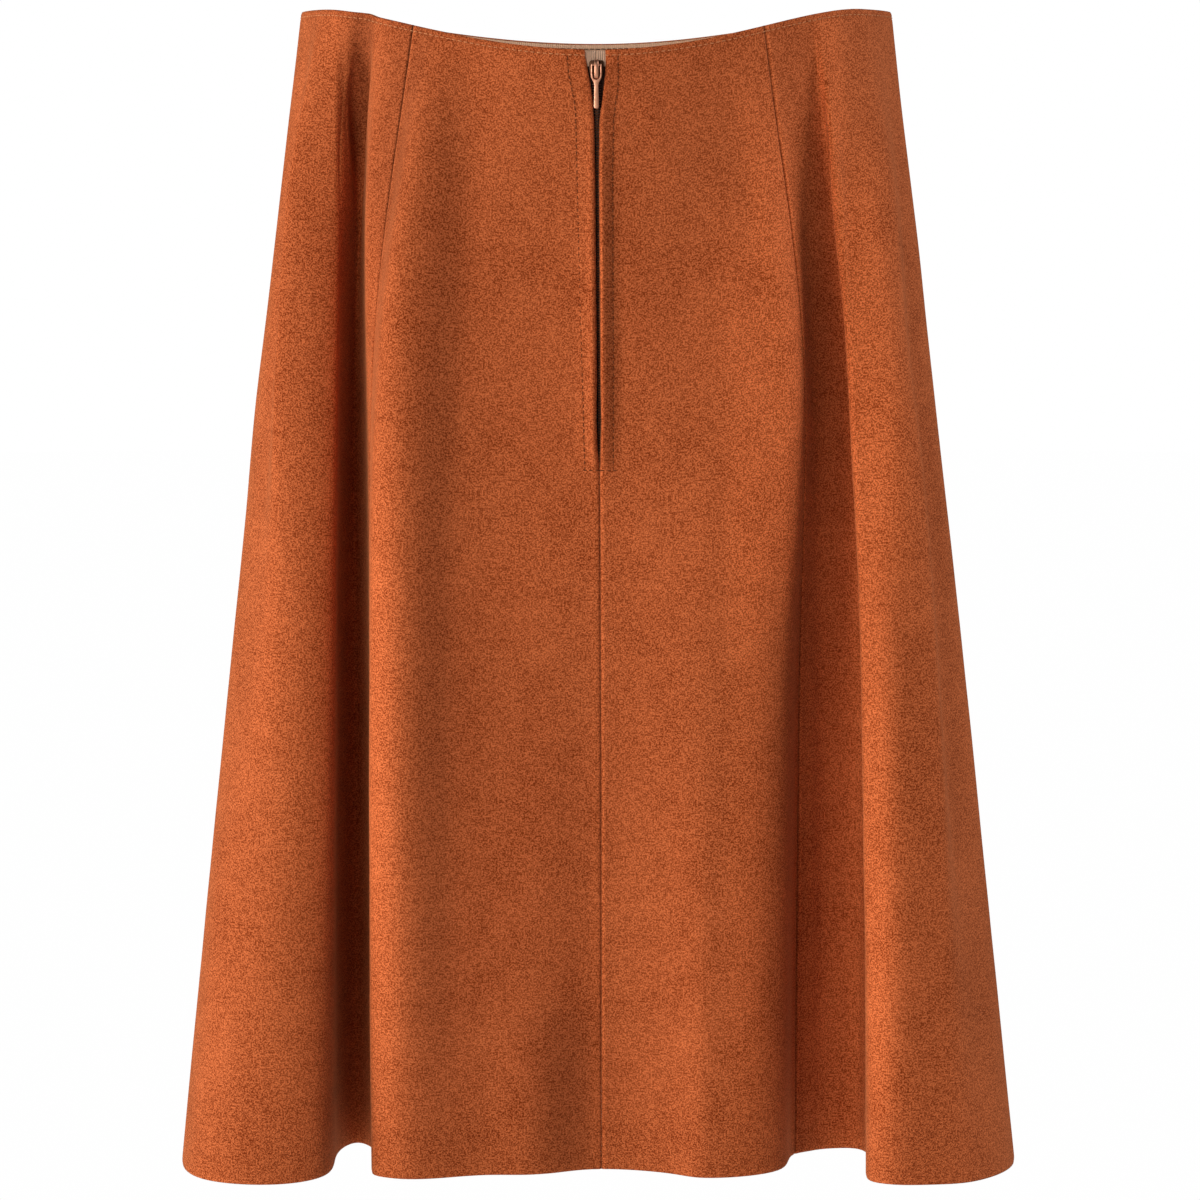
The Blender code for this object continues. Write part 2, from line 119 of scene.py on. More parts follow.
# Gores, each from one seam round to the next, with its cut: width at the hem and the
# length, and the share of that rectangle that the cloth fills
Gore = namedtuple("Gore", "name first last hem_width length fill")
GORES = (
    Gore("centre_back_right", "centre back seam", "back right seam", 0.132, 0.565, 0.858),
    Gore("side_back_right", "back right seam", "right side seam", 0.270, 0.579, 0.757),
    Gore("side_front_right", "right side seam", "front right seam", 0.206, 0.576, 0.748),
    Gore("centre_front", "front right seam", "front left seam", 0.247, 0.567, 0.868),
    Gore("side_front_left", "front left seam", "left side seam", 0.219, 0.576, 0.737),
    Gore("side_back_left", "left side seam", "back left seam", 0.270, 0.579, 0.746),
    Gore("centre_back_left", "back left seam", "centre back seam", 0.151, 0.565, 0.886),
)

# Half the width of the opening at the centre back, by its drop below the rim
ZipGap = namedtuple("ZipGap", "drop_mm left_mm right_mm")
ZIP_GAPS = (
    ZipGap(0.0, 5.3, 4.6),
    ZipGap(4.0, 5.0, 4.7),
    ZipGap(8.0, 4.2, 4.7),
    ZipGap(12.0, 3.5, 4.4),
    ZipGap(17.0, 2.7, 3.8),
    ZipGap(24.0, 2.0, 2.9),
    ZipGap(30.0, 1.5, 1.9),
    ZipGap(35.0, 1.2, 1.2),
    ZipGap(60.0, 0.9, 0.75),
    ZipGap(160.0, 0.8, 0.7),
    ZipGap(182.0, 1.2, 1.0),
    ZipGap(196.0, 0.8, 0.45),
    ZipGap(204.0, 0.05, 0.05),
    ZipGap(207.0, 0.0, 0.0),
    ZipGap(700.0, 0.0, 0.0),
)

# Height of the turned edges over the zip, by distance from the centre back
Placket = namedtuple("Placket", "distance_mm left_mm right_mm")
PLACKET = (
    Placket(0.0, 1.3, 1.3),
    Placket(1.0, 1.6, 1.7),
    Placket(2.0, 1.85, 1.75),
    Placket(2.8, 1.9, 1.5),
    Placket(3.6, 1.6, 1.15),
    Placket(4.6, 1.15, 0.8),
    Placket(5.8, 0.8, 0.45),
    Placket(7.0, 0.55, 0.1),
    Placket(8.2, 0.4, 0.0),
    Placket(9.2, 0.22, 0.0),
    Placket(10.4, 0.0, 0.0),
)

# Distance of the zip's stitching from the centre back, by its drop below the rim
ZipStitching = namedtuple("ZipStitching", "drop_mm left_mm right_mm")
ZIP_STITCHING = (
    ZipStitching(0.0, 12.9, 11.0),
    ZipStitching(12.0, 12.4, 11.1),
    ZipStitching(20.0, 11.0, 10.8),
    ZipStitching(27.0, 9.9, 9.4),
    ZipStitching(35.0, 9.6, 8.4),
    ZipStitching(60.0, 9.4, 7.6),
    ZipStitching(120.0, 8.8, 7.2),
    ZipStitching(207.0, 7.3, 6.6),
)

# Soft troughs (depth below 0) and ridges set in the cloth. place is where it lies between
# fold lines, counted from the centre back, and drop is down from the rim.
Crease = namedtuple("Crease", "place drop_mm length_mm width_mm depth_mm lean_deg")
CREASES = (
    Crease(0.75, 34, 34, 6, -0.9, 28),
    Crease(1.35, 52, 46, 9, 0.7, 24),
    Crease(0.55, 232, 30, 5, 0.5, 40),
    Crease(3.6, 165, 220, 15, 4.6, 0),
    Crease(4.35, 430, 340, 7, 2.6, 0),
    Crease(5.4, 210, 90, 8, 1.0, -4),
    Crease(9.3, 90, 90, 12, 2.4, 0),
    Crease(8.7, 190, 150, 12, 3.0, 0),
    Crease(8.4, 400, 330, 12, 3.4, 0),
    Crease(9.6, 180, 110, 13, -1.3, 5),
    Crease(10.6, 380, 140, 16, -1.6, 3),
    Crease(9.9, 470, 90, 12, 1.2, -3),
    Crease(11.7, 130, 80, 14, 1.1, 8),
    Crease(13.2, 300, 150, 18, -2.0, -4),
    Crease(14.5, 430, 120, 15, 1.5, 5),
    Crease(15.4, 170, 90, 11, -1.3, -6),
    Crease(18.6, 260, 130, 15, -1.7, 4),
    Crease(19.5, 420, 110, 16, 1.3, -5),
    Crease(20.7, 190, 100, 13, -1.2, 7),
    Crease(21.5, 350, 140, 15, -1.5, -3),
    Crease(24.6, 250, 110, 13, 1.4, 5),
    Crease(26.3, 380, 150, 18, -2.1, 4),
    Crease(27.5, 200, 90, 14, 1.2, -6),
    Crease(28.6, 330, 130, 15, -1.5, -3),
    Crease(29.6, 190, 90, 12, 1.1, 5),
    Crease(29.9, 450, 100, 14, 1.4, -4),
    Crease(37.95, 500, 380, 7, 2.2, 0),
    Crease(38.5, 330, 520, 14, 3.8, 0),
    Crease(33.7, 42, 74, 8, -5.5, 0),
    Crease(40.7, 545, 170, 16, 2.8, 3),
)

# Bands of painted light and shade in the suede's colour, partly nap brushed lighter or darker:
# lighter where lean is above 0, darker below it. They stand in for the folds' own light and shade,
# beside the right seam above all. By fold line, the drop of their middle, their length and half
# width
NapAndShadeBand = namedtuple("NapAndShadeBand", "place drop_mm length_mm width_mm lean")
NAP_AND_SHADE_BANDS = (
    # Painted shade on the slope right of the zip, and a painted highlight on its turned edge
    NapAndShadeBand(0.25, 118, 176, 4.0, -0.34),
    NapAndShadeBand(0.07, 118, 160, 1.3, 0.40),
    NapAndShadeBand(3.4, 145, 240, 15, 0.45),
    NapAndShadeBand(2.7, 185, 200, 20, 0.42),
    NapAndShadeBand(2.5, 400, 360, 12, 0.26),
    NapAndShadeBand(7.8, 32, 70, 9, 0.30),
    NapAndShadeBand(8.45, 170, 200, 10, 0.42),
    NapAndShadeBand(8.15, 400, 330, 8, 0.30),
    NapAndShadeBand(4.7, 330, 500, 10, 0.10),
    NapAndShadeBand(8.3, 150, 130, 12, 0.20),
    NapAndShadeBand(12.4, 240, 300, 20, -0.10),
    NapAndShadeBand(15.2, 300, 260, 22, 0.12),
    NapAndShadeBand(20.4, 260, 300, 24, -0.10),
    NapAndShadeBand(24.5, 330, 260, 20, 0.12),
    NapAndShadeBand(30.1, 420, 330, 14, 0.10),
    NapAndShadeBand(33.7, 30, 90, 10, -0.42),
    NapAndShadeBand(37.2, 45, 130, 14, -0.26),
    NapAndShadeBand(38.2, 400, 420, 8, 0.20),
    NapAndShadeBand(39.1, 290, 470, 10, -0.24),
    NapAndShadeBand(41.3, 530, 90, 16, -0.24),
    NapAndShadeBand(40.7, 200, 200, 30, 0.07),
)

LENGTH_MM = 566.0

# Height of the rim, in metres, and how many degrees round it takes to rise to the sides
RIM_AT_BACK = -0.0082
RIM_AT_FRONT = 0.0015
RIM_AT_SIDE = 0.0134
RIM_DIP_ANGLE_RIGHT = 62.0
RIM_DIP_ANGLE_LEFT = 67.0

# How far the seat and the belly fill out, as a share of their depth, and where that ends
SEAT_FULLNESS = 0.085
BELLY_FULLNESS = 0.050
FULLNESS_ENDS = 0.75

# Strips of cloth: distances from a seam or from the zip's edge, in mm, then even strips
NEAR_SEAM = (0.0, 0.25, 0.5, 0.8, 1.2, 1.8, 2.8, 4.4)
NEAR_ZIP = (0.0, 0.25, 0.5, 0.8, 1.2, 1.7, 2.3, 3.0, 3.8, 4.7, 5.6, 6.3, 6.9, 7.5, 8.3, 9.3,
            10.6, 12.5)
FILL_STRIPS = 8
FOLD_STRIPS = 9
LENGTH_STRIPS = 124
RIM_DROPS = (0.0, 0.7, 1.5, 2.3, 3.1, 4.0, 5.4)
HEM_RISES = (0.0, 0.8, 2.0)
ZIP_TOP_STRIPS = 20
ZIP_TOP_DROP = 38.0
ZIP_END_DROPS = (190.0, 194.0, 198.0, 201.0, 203.5, 205.5, 208.0, 211.0)
LEAST_ROW_STEP = 0.0008

# Soft rises, or dips where height is below 0, at a distance in mm and fading both ways
Hump = namedtuple("Hump", "height at_mm width_mm power", defaults=(2,))
SEAM_DIP = Hump(-0.75, 0.0, 0.45, 1.6)
ALLOWANCE = Hump(0.13, 2.2, 1.5)
TURNED_EDGE = Hump(-1.7, 0.0, 0.75, 1.5)
GROOVE_RIGHT = Hump(-0.42, 0.0, 0.65)
GROOVE_LEFT = Hump(-0.16, 0.0, 0.65)
RIM_ROUNDING = Hump(-0.45, 0.0, 0.75)
RIM_GROOVE = Hump(-0.20, 0.0, 0.8)
HEM_ROUNDING = Hump(-0.35, 0.0, 0.8)

# The same for painted light and shade in the suede's colour: painted shade in a seam and along
# the rim's stitched line, and a painted highlight on the edge to one side of a seam
SEAM_SHADE = Hump(-0.42, 0.0, 0.6)
BACK_SEAM_SHADE = Hump(-0.12, 0.0, 0.6)
SEAM_LIGHT = Hump(0.26, 1.3, 0.6)
STITCH_SHADE = Hump(-0.22, 0.0, 0.7)
BAND_LIMITS = (-0.5, 0.45)
LEAN_LIMITS = (-0.7, 0.6)

# Unevenness all over: its height, and how fast it changes by fold line and by drop
Ripple = namedtuple("Ripple", "height_mm per_fold per_mm seed_step")
RIPPLES = (Ripple(0.35, 0.42, 0.011, 0.0), Ripple(0.10, 1.1, 0.03, 11.0))
RIPPLE_FADE_MM = 40.0

# Along the zip, in mm below the rim: where the opening starts to close and has closed,
# where the turned edges end, where the slider sits and where the tab hangs from it
CLOSING_MM = 203.0
CLOSED_MM = 207.0
PLACKET_END_MM = 232.0
SLIDER_MM = 9.7
TAB_HINGE_MM = 10.0

# The groove under the row of stitches across the zip's end
ZIP_END_GROOVE = Hump(-0.3, CLOSED_MM, 1.1)
ZIP_END_HALF_MM = 8.0

# The strap over the tab's loop: its line up the zip and out of it, and half its width
Strap = namedtuple("Strap", "z y half_width")
BRIDGE = (
    Strap(0.0040, 0.0006, 0.00085),
    Strap(0.0041, -0.0008, 0.0009),
    Strap(0.0036, -0.0020, 0.00095),
    Strap(0.0022, -0.0026, 0.00098),
    Strap(0.0, -0.0028, 0.00098),
    Strap(-0.0022, -0.0026, 0.00098),
    Strap(-0.0036, -0.0020, 0.00095),
    Strap(-0.0041, -0.0008, 0.0009),
    Strap(-0.0040, 0.0006, 0.0008),
)

# Points of a plate closer than this are one
PLATE_MERGE = 0.000004

# Kinds of node socket
FLOAT = "NodeSocketFloat"
VECTOR = "NodeSocketVector"


class SkirtSizes(bpy.types.PropertyGroup):
    """Main sizes of the skirt."""

    waist_half_width: FloatProperty(
        name="Waist half width", description="Half the width of the waist ring",
        default=0.148, unit="LENGTH")
    waist_half_depth: FloatProperty(
        name="Waist half depth", description="Half the depth of the waist ring",
        default=0.098, unit="LENGTH")
    hem_height: FloatProperty(
        name="Hem height", description="Height of the hem, below the waist",
        default=-0.558, unit="LENGTH")
    suede_wall: FloatProperty(
        name="Suede thickness", description="Thickness of the suede",
        default=0.0015, unit="LENGTH")
    facing_depth: FloatProperty(
        name="Facing depth", description="Depth of the facing below the rim",
        default=0.034, unit="LENGTH")
    facing_wall: FloatProperty(
        name="Facing thickness", description="Thickness of the facing",
        default=0.001, unit="LENGTH")
    relief: FloatProperty(
        name="Crease strength", description="Strength of creases, seam dips and puckers",
        default=1.0, min=0.0, max=2.0)


class SuedeLook(bpy.types.PropertyGroup):
    """Colour and nap of the suede."""

    light: FloatVectorProperty(
        name="Raised nap", description="Colour where the nap catches the light",
        subtype="COLOR", size=4, default=(0.640, 0.156, 0.048, 1.0))
    dark: FloatVectorProperty(
        name="Laid nap", description="Colour where the nap lies down",
        subtype="COLOR", size=4, default=(0.165, 0.021, 0.0018, 1.0))
    reverse: FloatVectorProperty(
        name="Reverse", description="Colour of the unlined inside",
        subtype="COLOR", size=4, default=(0.46, 0.20, 0.09, 1.0))
    grain_size: FloatProperty(
        name="Grain size", description="Size of the speckle in the nap",
        default=0.0008, unit="LENGTH")
    patch_size: FloatProperty(
        name="Patch size", description="Size of the brushed patches",
        default=0.016, unit="LENGTH")


class StitchLook(bpy.types.PropertyGroup):
    """Topstitching."""

    pitch: FloatProperty(
        name="Pitch", description="Distance from one stitch to the next",
        default=0.00300, unit="LENGTH")
    length: FloatProperty(
        name="Length", description="Length of one stitch", default=0.00225, unit="LENGTH")
    thread: FloatProperty(
        name="Thread radius", description="Radius of the thread",
        default=0.00022, unit="LENGTH")
    rim_distance: FloatProperty(
        name="From the rim", description="Distance of the waist stitching from the rim",
        default=0.0028, unit="LENGTH")
    colour: FloatVectorProperty(
        name="Thread", description="Colour of the thread", subtype="COLOR", size=4,
        default=(0.740, 0.285, 0.115, 1.0))
    # The zip's thread is a darker copy of the rust thread: painted shade for the shadow beside the
    # turned edges
    shaded_colour: FloatVectorProperty(
        name="Zip thread", description="Colour of the thread beside the zip", subtype="COLOR",
        size=4, default=(0.150, 0.040, 0.012, 1.0))


class ZipLook(bpy.types.PropertyGroup):
    """Zip tapes, coil, slider and tab."""

    tape_width: FloatProperty(
        name="Tape width", description="Width of one tape", default=0.0105, unit="LENGTH")
    coil_pitch: FloatProperty(
        name="Coil pitch", description="Distance between turns of the coil",
        default=0.00125, unit="LENGTH")
    metal: FloatVectorProperty(
        name="Metal", description="Copper-coloured metal of the slider and tab",
        subtype="COLOR", size=4, default=(0.70, 0.34, 0.21, 1.0))
    tape: FloatVectorProperty(
        name="Tape", description="Colour of the tape's ribs", subtype="COLOR", size=4,
        default=(0.80, 0.50, 0.34, 1.0))
    facing: FloatVectorProperty(
        name="Facing", description="Colour of the facing inside the rim", subtype="COLOR",
        size=4, default=(1.0, 0.60, 0.38, 1.0))


class StageLook(bpy.types.PropertyGroup):
    """Floor, light and camera."""

    floor_drop: FloatProperty(
        name="Floor", description="How far the floor lies below the waist",
        default=1.0, unit="LENGTH")
    camera_distance: FloatProperty(
        name="Camera distance", description="Distance from the camera to the skirt's middle",
        default=2.0, unit="LENGTH")
    camera_height: FloatProperty(
        name="Camera angle", description="Angle of the camera above the horizon",
        default=radians(6.0), subtype="ANGLE")
    view_width: FloatProperty(
        name="View width", description="Width seen at the skirt's middle",
        default=0.612, unit="LENGTH")
    samples_seed: IntProperty(
        name="Seed", description="Seed of the small puckers", default=7)


# Lights: round from the back's own direction towards the wearer's right, and lifted
Lamp = namedtuple("Lamp", "name round_deg lift_deg power colour")
LAMPS = (
    Lamp("key_light", -77.0, 8.0, 45.0, (1.0, 0.98, 0.95)),
    Lamp("front_light", -25.0, 8.0, 29.0, (1.0, 0.98, 0.95)),
    Lamp("side_light", 90.0, 35.0, 36.0, (0.97, 0.98, 1.0)),
)
LAMP_DISTANCE = 2.4
LAMP_SIZE = 1.0
VIEW_MIDDLE = Vector((0.0018, 0.0, -0.283))
FLOOR_RADIUS = 12.0
WHITE = (1.0, 1.0, 1.0, 1.0)


# Surface of the cloth -----------------------------------------------------------------------

def share_reached(share, reach):
    """Share of its way that a fold line has gone: it levels off past its reach."""
    def level(way):
        return way / (1.0 + way ** 4) ** 0.25
    return level(share / reach) / level(1.0 / reach)


class Ring:
    """Smooth closed curve through the fold lines at one share of the length."""

    def __init__(self, share, sizes):
        bulge = sin(pi * min(share / FULLNESS_ENDS, 1.0)) ** 2
        points = []
        for fold in FOLDS:
            angle = radians(fold.waist_deg)
            waist_x = sizes.waist_half_width * sin(angle)
            waist_y = -sizes.waist_half_depth * cos(angle)
            x = waist_x + (fold.hem_x * MM - waist_x) * share_reached(share, fold.spread)
            y = waist_y + (fold.hem_y * MM - waist_y) * share_reached(share, fold.deepen)
            fullness = SEAT_FULLNESS if y < 0 else BELLY_FULLNESS
            points.append((x, y * (1.0 + fullness * bulge)))
        points = np.array(points)
        following = np.roll(points, -1, axis=0)
        self.spans = np.sqrt(np.hypot(*(following - points).T))
        before = np.roll(self.spans, 1)
        matrix = np.zeros((AROUND, AROUND))
        for i in range(AROUND):
            matrix[i, i - 1] = before[i]
            matrix[i, i] = 2.0 * (before[i] + self.spans[i])
            matrix[i, (i + 1) % AROUND] = self.spans[i]
        slopes = (following - points) / self.spans[:, None]
        self.bends = np.linalg.solve(matrix, 6.0 * (slopes - np.roll(slopes, 1, axis=0)))
        self.next_bends = np.roll(self.bends, -1, axis=0)
        self.points = points
        self.following = following

    def at(self, places):
        """Points at places counted in fold lines, such as 2.5 for half past the third."""
        whole = np.floor(places)
        index = whole.astype(int) % AROUND
        part = (places - whole)[:, None]
        start = 1.0 - part
        curve = self.bends[index] * (start ** 3 - start)
        curve += self.next_bends[index] * (part ** 3 - part)
        straight = self.points[index] * start + self.following[index] * part
        return straight + curve * (self.spans[index] ** 2)[:, None] / 6.0


class Skirt:
    """The worn skirt's outside, with its seams, placket and creases."""

    PLACE_STEP = 0.002
    SHARE_STEP = 0.002

    def __init__(self, sizes, stitches, seed):
        self.sizes = sizes
        self.stitches = stitches
        self.seed = seed
        self.rings = {}

    def ring(self, share):
        """Ring at a share of the length, worked out once."""
        key = round(float(share), 6)
        if key not in self.rings:
            self.rings[key] = Ring(key, self.sizes)
        return self.rings[key]

    def rim_heights(self, places):
        """Height of the rim, which dips at the back and a little at the front."""
        x, y = self.ring(0.0).at(places).T
        angle = np.arctan2(np.abs(x) / self.sizes.waist_half_width,
                           np.abs(y) / self.sizes.waist_half_depth)
        dip = np.where(x > 0, radians(RIM_DIP_ANGLE_RIGHT), radians(RIM_DIP_ANGLE_LEFT))
        rise = np.sin(0.5 * pi * np.minimum(angle / dip, 1.0)) ** 2
        lowest = np.where(y < 0, RIM_AT_BACK, RIM_AT_FRONT)
        return lowest + (RIM_AT_SIDE - lowest) * rise

    def smooth(self, places, share):
        """Points on the outside, before seams and creases."""
        rim = self.rim_heights(places)
        height = rim + (self.sizes.hem_height - rim) * share
        return np.column_stack((self.ring(share).at(places), height))

    def stretch(self, places, share):
        """Millimetres round the skirt for one step from fold line to fold line."""
        step = self.smooth(places + self.PLACE_STEP, share)
        step -= self.smooth(places - self.PLACE_STEP, share)
        return np.linalg.norm(step, axis=1) / (2.0 * self.PLACE_STEP) / MM

    def beyond(self, place, distance_mm, share):
        """Place a distance further round the skirt."""
        return place + distance_mm / float(self.stretch(np.array([place]), share)[0])

    def normals(self, places, share):
        """Outward normals before seams and creases."""
        around = self.smooth(places + self.PLACE_STEP, share)
        around -= self.smooth(places - self.PLACE_STEP, share)
        low = max(share - self.SHARE_STEP, 0.0)
        high = min(share + self.SHARE_STEP, 1.0)
        down = self.smooth(places, high) - self.smooth(places, low)
        out = np.cross(down, around)
        return out / np.linalg.norm(out, axis=1)[:, None]

    def relief_mm(self, places, share):
        """How far the cloth stands proud of its smooth form, in mm."""
        stretch = self.stretch(places, share)
        drop = share * LENGTH_MM
        height = self.crease_mm(places, drop, stretch)
        height += self.seam_mm(places, drop, stretch)
        height += self.placket_mm(places, drop, stretch)
        height += self.edge_mm(drop)
        return height * self.sizes.relief

    def crease_mm(self, places, drop, stretch):
        """Soft troughs and ridges, and a slight unevenness all over."""
        height = np.zeros(len(places))
        for crease in CREASES:
            if abs(drop - crease.drop_mm) > crease.length_mm * 1.2:
                continue
            across = round_difference(places, crease.place) * stretch
            along = drop - crease.drop_mm
            lean = radians(crease.lean_deg)
            u = (across * cos(lean) - along * sin(lean)) / crease.width_mm
            v = (across * sin(lean) + along * cos(lean)) / (crease.length_mm * 0.5)
            height += crease.depth_mm * np.exp(-u * u) * np.exp(-v * v)
        fade = min(drop / RIPPLE_FADE_MM, 1.0)
        for i, place in enumerate(places):
            for ripple in RIPPLES:
                spot = Vector((place * ripple.per_fold, drop * ripple.per_mm,
                               self.seed + ripple.seed_step))
                height[i] += ripple.height_mm * fade * noise.noise(spot)
        return height

    def nap_and_painted_shading(self, places, share):
        """Painted light and shade, partly nap, along its bands, in its seams and on the rim's
        stitched line: above 0 lightens the suede, below 0 darkens it.
        """
        drop = share * LENGTH_MM
        stretch = self.stretch(places, share)
        lean = np.zeros(len(places))
        for band in NAP_AND_SHADE_BANDS:
            across = np.abs(round_difference(places, band.place)) * stretch / band.width_mm
            along = (drop - band.drop_mm) / (band.length_mm * 0.5)
            lean += band.lean * np.exp(-across ** 2.6) * np.exp(-along ** 4)
        lean = np.clip(lean, *BAND_LIMITS)
        for gore in GORES:
            seam = FOLD_NAMES.index(gore.first)
            if seam == 0 and drop < CLOSED_MM:
                continue
            distance = round_difference(places, seam) * stretch
            # Painted shade in each seam, and a painted highlight on the edge beside it
            lean += hump(BACK_SEAM_SHADE if seam == 0 else SEAM_SHADE, distance)
            lean += hump(SEAM_LIGHT, distance)
        # Painted shade along the rim's stitched line
        lean += hump(STITCH_SHADE, drop - self.stitches.rim_distance / MM)
        return np.clip(lean, *LEAN_LIMITS)

    def seam_mm(self, places, drop, stretch):
        """The dip along each seam, with the allowances standing a little proud beside it."""
        height = np.zeros(len(places))
        for gore in GORES:
            seam = FOLD_NAMES.index(gore.first)
            if seam == 0 and drop < CLOSING_MM:
                continue
            distance = np.abs(round_difference(places, seam)) * stretch
            pucker = 1.0 + 0.5 * sin(drop * 0.31 + seam) * sin(drop * 0.083 + seam * 1.7)
            height += hump(SEAM_DIP, distance)
            height += pucker * hump(ALLOWANCE, distance)
        return height

    def placket_mm(self, places, drop, stretch):
        """The two turned edges over the zip, held down by the stitching beside them."""
        if drop > PLACKET_END_MM:
            return np.zeros(len(places))
        side = round_difference(places, 0.0) * stretch
        distance = np.abs(side)
        right = side > 0
        gap = np.where(right, zip_gap_mm(drop, 1), zip_gap_mm(drop, -1))
        stitched = np.where(right, stitch_line_mm(drop, 1), stitch_line_mm(drop, -1))
        ramp = smooth_step(drop, 12.0, 60.0) * (1.0 - smooth_step(drop, 196.0, 212.0))
        tent = ramp * (0.85 + 0.45 * smooth_step(drop, 60.0, 150.0))
        height = tent * np.where(right, from_table(PLACKET, distance, 1),
                                 from_table(PLACKET, distance, -1))
        turned = hump(TURNED_EDGE, np.maximum(distance - gap, 0.0))
        height += turned * (1.0 - smooth_step(drop, CLOSING_MM, CLOSING_MM + 5.0))
        groove = np.where(right, hump(GROOVE_RIGHT, distance - stitched),
                          hump(GROOVE_LEFT, distance - stitched))
        height += groove * (1.0 - smooth_step(drop, CLOSING_MM + 1.0, CLOSING_MM + 6.0))
        height += hump(ZIP_END_GROOVE, drop) * (distance < ZIP_END_HALF_MM)
        return height

    def edge_mm(self, drop):
        """The rounded rim with its stitching, and the rounded hem."""
        groove = hump(RIM_GROOVE, drop - self.stitches.rim_distance / MM)
        return hump(RIM_ROUNDING, drop) + groove + hump(HEM_ROUNDING, LENGTH_MM - drop)

    def points(self, places, share, lift_mm=0.0):
        """Points and normals on the finished cloth, lifted off it or sunk below it."""
        out = self.normals(places, share)
        proud = self.relief_mm(places, share) + lift_mm
        return self.smooth(places, share) + out * proud[:, None] * MM, out

    def spot(self, place, share, lift_mm=0.0):
        """One point on the finished cloth, with its normal."""
        points, normals = self.points(np.array([place]), share, lift_mm)
        return Vector(points[0]), Vector(normals[0])


def round_difference(places, place):
    """How far places lie from one, the short way round the skirt."""
    half = AROUND / 2.0
    return (places - place + half) % AROUND - half


def hump(shape, distance):
    """Height of a soft rise or dip at a distance from its seam or edge."""
    away = np.abs((distance - shape.at_mm) / shape.width_mm)
    return shape.height * np.exp(-away ** shape.power)


def smooth_step(value, low, high):
    """0 below low, 1 above high and a soft slope between."""
    part = min(max((value - low) / (high - low), 0.0), 1.0)
    return part * part * (3.0 - 2.0 * part)


def from_table(table, value, side):
    """Read a table's column for one side, in mm, at a value of its first column."""
    column = [row.right_mm if side > 0 else row.left_mm for row in table]
    return np.interp(value, [row[0] for row in table], column)


def zip_gap_mm(drop, side):
    """Half the width of the opening on one side, in mm."""
    return float(from_table(ZIP_GAPS, drop, side))


def stitch_line_mm(drop, side):
    """Distance of the zip's stitching from the centre back on one side, in mm."""
    return float(from_table(ZIP_STITCHING, drop, side))


# Meshes ----------------------------------------------------------------------------------------

def strip_columns(skirt, gore, share):
    """Places of the strips across a gore at one share of the length."""
    first = FOLD_NAMES.index(gore.first)
    last = FOLD_NAMES.index(gore.last)
    last = last if last > first else last + AROUND
    drop = share * LENGTH_MM

    def edge(fold, side):
        at_zip = fold % AROUND == 0
        gap = zip_gap_mm(drop, side) if at_zip else 0.0
        steps = NEAR_ZIP if at_zip else NEAR_SEAM
        stretch = float(skirt.stretch(np.array([float(fold)]), share)[0])
        near = [fold + side * (gap + step) / stretch for step in steps]
        fill = np.linspace(near[-1], fold + side, FILL_STRIPS + 1)[1:]
        return near + list(fill)

    start = edge(first, 1)
    end = edge(last, -1)[::-1]
    count = (last - first - 2) * FOLD_STRIPS
    middle = list(np.linspace(first + 1, last - 1, count + 1)[1:-1]) if count else []
    if not count:
        end = end[1:]
    return np.array(start + middle + end)


def length_shares():
    """Shares of the length where the cloth has a row of points."""
    shares = list(np.linspace(0.0, 1.0, LENGTH_STRIPS + 1))
    shares += [drop / LENGTH_MM for drop in RIM_DROPS + ZIP_END_DROPS]
    shares += [1.0 - rise / LENGTH_MM for rise in HEM_RISES]
    shares += list(np.linspace(0.0, ZIP_TOP_DROP, ZIP_TOP_STRIPS) / LENGTH_MM)
    shares = sorted(set(round(share, 5) for share in shares))
    kept = [shares[0]]
    for share in shares[1:]:
        if share - kept[-1] > LEAST_ROW_STEP:
            kept.append(share)
    return kept


def add_object(name, data):
    """Object in the scene for a mesh, a curve, a light or a camera."""
    thing = bpy.data.objects.new(name, data)
    bpy.context.scene.collection.objects.link(thing)
    return thing


def grid_object(name, rows, material_list):
    """Open sheet through rows of points, with a UV map in metres round and down it."""
    rows = [np.asarray(row) for row in rows]
    columns = len(rows[0])
    vertices = np.concatenate(rows)
    faces = []
    for i in range(len(rows) - 1):
        for j in range(columns - 1):
            corner = i * columns + j
            faces.append((corner, corner + columns, corner + columns + 1, corner + 1))
    mesh = bpy.data.meshes.new(name)
    mesh.from_pydata([tuple(point) for point in vertices], [], faces)
    steps = [np.linalg.norm(np.diff(row, axis=0), axis=1) for row in rows]
    across = np.array([np.concatenate(([0.0], np.cumsum(step))) for step in steps])
    across -= across[:, columns // 2][:, None]
    falls = np.linalg.norm(np.diff(np.array(rows), axis=0), axis=2).mean(axis=1)
    down = np.concatenate(([0.0], np.cumsum(falls)))
    layer = mesh.uv_layers.new(name="cloth")
    loops = np.zeros(len(mesh.loops), dtype=np.int32)
    mesh.loops.foreach_get("vertex_index", loops)
    flat = np.column_stack((across.reshape(-1), np.repeat(-down, columns)))
    layer.data.foreach_set("uv", flat[loops].reshape(-1).astype(np.float32))
    for material in material_list:
        mesh.materials.append(material)
    mesh.polygons.foreach_set("use_smooth", [True] * len(mesh.polygons))
    return add_object(name, mesh)


def give_wall(thing, wall, inner_slot=0):
    """Thicken an open sheet inwards."""
    solidify = thing.modifiers.new("wall", "SOLIDIFY")
    solidify.thickness = wall
    solidify.offset = -1.0
    solidify.use_even_offset = False
    solidify.material_offset = inner_slot


